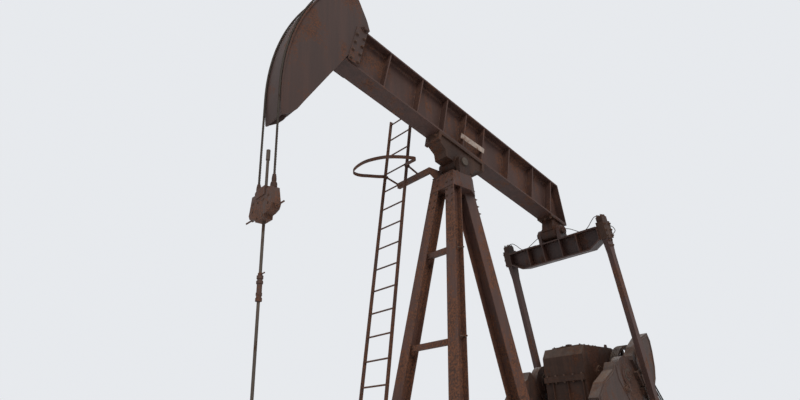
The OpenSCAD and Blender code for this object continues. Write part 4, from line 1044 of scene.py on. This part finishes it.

# %% [markdown]
# ## The motor
# An electric motor has a fan cowl with slots at its free end, a terminal box and feet bolts. The CAD
# gives the finned barrel. The cowl is a turned shell. Its slots are short dark bars in a ring: painted
# shade standing in for the dark inside the openings, which stays light on triangles.

# %% Motor details
motor_parts = [turned([(0.200, 0.298), (0.202, 0.315), (0.196, 0.348), (0.170, 0.366), (0.060, 0.372)],
                      (MOTOR_X, 0, MOTOR_H), steps=40),
               block((MOTOR_X + 0.048, -0.084, MOTOR_H + 0.245), (MOTOR_X + 0.192, 0.104, MOTOR_H + 0.262),
                     WORLD, 0.004),
               turned([(0.018, MOTOR_H + 0.190), (0.018, MOTOR_H + 0.212)], (MOTOR_X - 0.03, 0, 0), axis="Z")]
piece("motor_cowl", motor_parts, "base", CASTING)
EYE = [(MOTOR_X - 0.03 + 0.026 * math.cos(a), 0, MOTOR_H + 0.235 + 0.026 * math.sin(a))
       for a in (k * math.pi / 8 for k in range(17))]
sweep("motor_eye", [EYE], 0.008, CASTING, "base", lobes=4, step=0.008)
SLOT_ENDS = ((0.075, 0.371), (0.158, 0.367))
# Painted shade: the slot bars use the dark rubber finish for the shade inside open slots, not as rubber.
sweep("cowl_slot_shade", [[(MOTOR_X + radius * math.cos(a), y, MOTOR_H + radius * math.sin(a))
                      for radius, y in SLOT_ENDS] for a in (k * math.pi / 16 for k in range(32))],
      0.0035, RUBBER, "base", lobes=3, step=0.05)
bolts("motor_bolts", "base", grid((MOTOR_X - 0.17, MOTOR_X + 0.17), (-0.13, 0.20), MOTOR_H - 0.230)
      + grid((MOTOR_X + 0.065, MOTOR_X + 0.175), (-0.068, 0.088), MOTOR_H + 0.262), 0.012)

# %% [markdown]
# ## Equalizer, pitmans and wrist bearings
# The equalizer hangs from the beam's tail and shares the pull between the two pitmans. Studs stand up
# like a comb on its end blocks, and the wrist bearings have round caps with a ring of bolts.

# %% Equalizer and bearing details
BLOCK_OUT = WRIST_OUT = 0.935
PITMAN_OUT = 0.9125
WRIST_DROP = -3.080
stud_places = [p for side in SIDES for p in grid((-0.055, -0.018, 0.020, 0.057), (side * 0.845, side * 0.905),
                                                 0.010, matrix=PITMAN)]
bolts("block_studs", "pitman_assembly", stud_places, 0.014, height=0.012, stud=0.020)
side_places = [at(PITMAN, (x, side * BLOCK_OUT, z), (0, side, 0)) for side in SIDES for x in (-0.075, 0.075)
               for z in (-0.115, -0.21, -0.295)]
side_places += [at(PITMAN, (x, side * PITMAN_OUT, z), (0, side, 0)) for side in SIDES for x in (-0.035, 0.035)
                for z in (-0.36, -0.44)]
bolts("block_bolts", "pitman_assembly", side_places, 0.017)
wrist_places = [p for side in SIDES
                for p in ring(PITMAN, (0, side * WRIST_OUT, WRIST_DROP), 0.128, 8, (0, side, 0), 0.2)]
piece("bearing_ends", caps([(0.098, 0.958), (0.092, 0.972), (0.030, 0.976)], (0, 0, WRIST_DROP), PITMAN)
      + caps([(0.066, 0.225), (0.066, 0.233), (0.060, 0.236)], (0, 0, 0), PITMAN), "pitman_assembly", CASTING)
bolts("wrist_bolts", "pitman_assembly", wrist_places, 0.012)
bolts("shaft_end_bolts", "pitman_assembly", [
    p for side in SIDES for p in ring(PITMAN, (0, side * 0.236, 0), 0.036, 3, (0, side, 0))], 0.008)

# %% [markdown]
# ## Grease lines
# Thin bent steel tubes carry grease from lugs at the tail bearing to the end blocks, and a short one
# loops behind the near block. A few places are enough for each, because a smooth line is drawn through
# them. The welds along the equalizer's edges are straight.

# %% Grease lines
def bend(points, count=9):
    """A smooth line through a few points."""
    points = [Vector(p) for p in points]
    padded = [2 * points[0] - points[1]] + points + [2 * points[-1] - points[-2]]
    line = []
    for a, b, c, d in zip(padded, padded[1:], padded[2:], padded[3:]):
        for i in range(count):
            t = i / count
            line.append(0.5 * (2 * b + (c - a) * t + (2 * a - 5 * b + 4 * c - d) * t * t
                               + (3 * b - a - 3 * c + d) * t * t * t))
    return line + [points[-1]]


def grease_line(side):
    """Places of a grease line: from a lug down to the equalizer's top and up onto an end block."""
    return [(0.050, side * 0.195, 0.020), (0.050, side * 0.235, 0.018), (0.030, side * 0.330, -0.020),
            (0.000, side * 0.430, -0.078), (-0.020, side * 0.500, -0.116), (-0.020, side * 0.585, -0.113),
            (-0.010, side * 0.650, -0.070), (0.000, side * 0.705, -0.013), (0.000, side * 0.760, 0.032),
            (0.000, side * 0.800, 0.044), (0.000, side * 0.845, 0.038), (0.000, side * 0.862, 0.008)]


grease_paths = [[PITMAN @ p for p in bend(grease_line(side))] for side in SIDES]
grease_paths.append([PITMAN @ p for p in bend([(0.100, -0.920, -0.130), (0.136, -0.930, -0.145),
                                               (0.202, -0.930, -0.171), (0.225, -0.930, -0.216),
                                               (0.146, -0.930, -0.259), (0.100, -0.925, -0.270)])])
sweep("grease_lines", grease_paths, 0.0055, SHADED_WIRE_STEEL, "pitman_assembly", lobes=4, step=0.012)
edge_paths = [[PITMAN @ Vector((x, y, -0.126)) for y in (side * 0.26, side * 0.80)]
              for side in SIDES for x in (-0.1205, 0.1205)]
weld("equalizer_welds", edge_paths, "pitman_assembly", LINK_PAINT)

# %% [markdown]
# ## The counterweights' rims
# Each crank arm carries four cast weights with a raised rim round their outer face. The rim is a sweep
# along the CAD casting's outline, drawn in a little.

# %% Weight rims
CRANK_HALF, WEIGHT_OUT = 0.220, 0.760
BIG_WEIGHT = [(-0.060, 0.075), (-0.170, 0.262), (-0.190, 0.510), (-0.155, 0.735), (-0.062, 0.732),
              (0.075, 0.664), (0.250, 0.542), (0.362, 0.420), (0.422, 0.298), (0.438, 0.175), (0.438, 0.032)]
SMALL_WEIGHT = [(0.552, 0.032), (0.552, 0.200), (0.640, 0.224), (0.765, 0.312), (0.886, 0.388),
                (1.048, 0.408), (1.210, 0.362), (1.322, 0.245), (1.356, 0.032)]
LOW_HEEL = [(-0.100, 0.120), (-0.262, 0.052), (-0.286, 0.068), (-0.233, 0.168), (-0.233, 0.512)]


def closed(outline):
    """The outline with its first point again at the end."""
    return outline + outline[:1]


rim_paths = []
for side in SIDES:
    for mirror in (1, -1):
        big = BIG_WEIGHT if mirror > 0 else LOW_HEEL + BIG_WEIGHT[3:]
        for outline in (big, SMALL_WEIGHT):
            rim_paths.append([CRANK @ Vector((x, side * WEIGHT_OUT, mirror * (CRANK_HALF + z)))
                              for x, z in closed(outline)])
sweep("weight_rims", rim_paths, 0.011, WEIGHT_IRON, "crank_assembly", lobes=4, step=0.03)

# %% [markdown]
# ## Clamps and crank hubs
# Clamps grip the arm's edge, so that the weights can be slid until the machine is balanced. Those of
# the near crank reach further out. Each hub has a stepped cover with a key, and bolts in its middle.

# %% Clamps and hubs
CRANK_OUT, CLAMP_OUT = 0.720, WEIGHT_OUT + 0.02
clamp_parts = []
clamp_places = []
for side, grip_out in ((-1, CRANK_OUT + 0.068), (1, CRANK_OUT + 0.0476)):
    for mirror in (1, -1):
        grip_low, grip_high = mirror * (CRANK_HALF - 0.055), mirror * (CRANK_HALF - 0.003)
        for x in (0.10, 0.34, 0.62, 0.87, 1.12):
            clamp_parts.append(block((x - 0.05, side * CRANK_OUT, grip_low),
                                     (x + 0.05, side * grip_out, grip_high), CRANK, 0.004))
            clamp_parts.append(block((x - 0.05, side * WEIGHT_OUT, mirror * 0.165),
                                     (x + 0.05, side * CLAMP_OUT, mirror * 0.30), CRANK, 0.005))
            clamp_places.append(at(CRANK, (x, side * CLAMP_OUT, mirror * 0.262), (0, side, 0)))
piece("weight_clamps", clamp_parts, "crank_assembly", WEIGHT_IRON)
bolts("weight_bolts", "crank_assembly", clamp_places, 0.026)
shaft_parts = caps([(0.150, 0.719), (0.150, 0.728), (0.142, 0.731)], (0, 0, 0), CRANK, 36)
shaft_parts += caps([(0.060, 0.733), (0.060, 0.741), (0.052, 0.744)], (0, 0, 0), CRANK)
shaft_places = []
for side in SIDES:
    shaft_parts.append(block((0.055, side * 0.728, -0.022), (0.115, side * 0.737, 0.022), CRANK, 0.002))
    shaft_places += ring(CRANK, (0, side * 0.744, 0), 0.034, 3, (0, side, 0))
    shaft_places += ring(CRANK, (0.875, side * 0.560, 0), 0.030, 1, (0, -side, 0))
piece("crank_hubs", shaft_parts, "crank_assembly", WEIGHT_IRON)
bolts("crank_shaft_bolts", "crank_assembly", shaft_places, 0.010)

# %% [markdown]
# ## The base
# The skid carries everything and is bolted down at its lower flanges. The bolts sit in pairs, one
# outside each rail. Welds show where the cross members meet the rails.

# %% Base details
FLANGE_TOP = 0.011
anchor_places = [((x, side * 0.475, FLANGE_TOP), (0, 0, 1))
                 for side in SIDES for x in (-0.6, 0.5, 1.7, 2.9, 3.9, 4.7)]
anchor_places += grid((-1.106, -1.006), (-0.95, 0.95), FLANGE_TOP)
bolts("anchor_bolts", "base", anchor_places, 0.020, stud=0.035)
weld("base_welds", [[(x + dx, side * 0.345, 0.252), (x + dx, side * 0.345, 0.240)]
                    for x in (0, 1.256, 2.488, 4.25) for dx in (-0.075, 0.075) for side in SIDES]
     + [[(x + dx, side * (0.345 + 0.15 * k), 0.251) for k in (0, 1)] for x in (0, 1.256)
        for dx in (-0.075, 0.075) for side in SIDES], "base", BASE_PAINT)
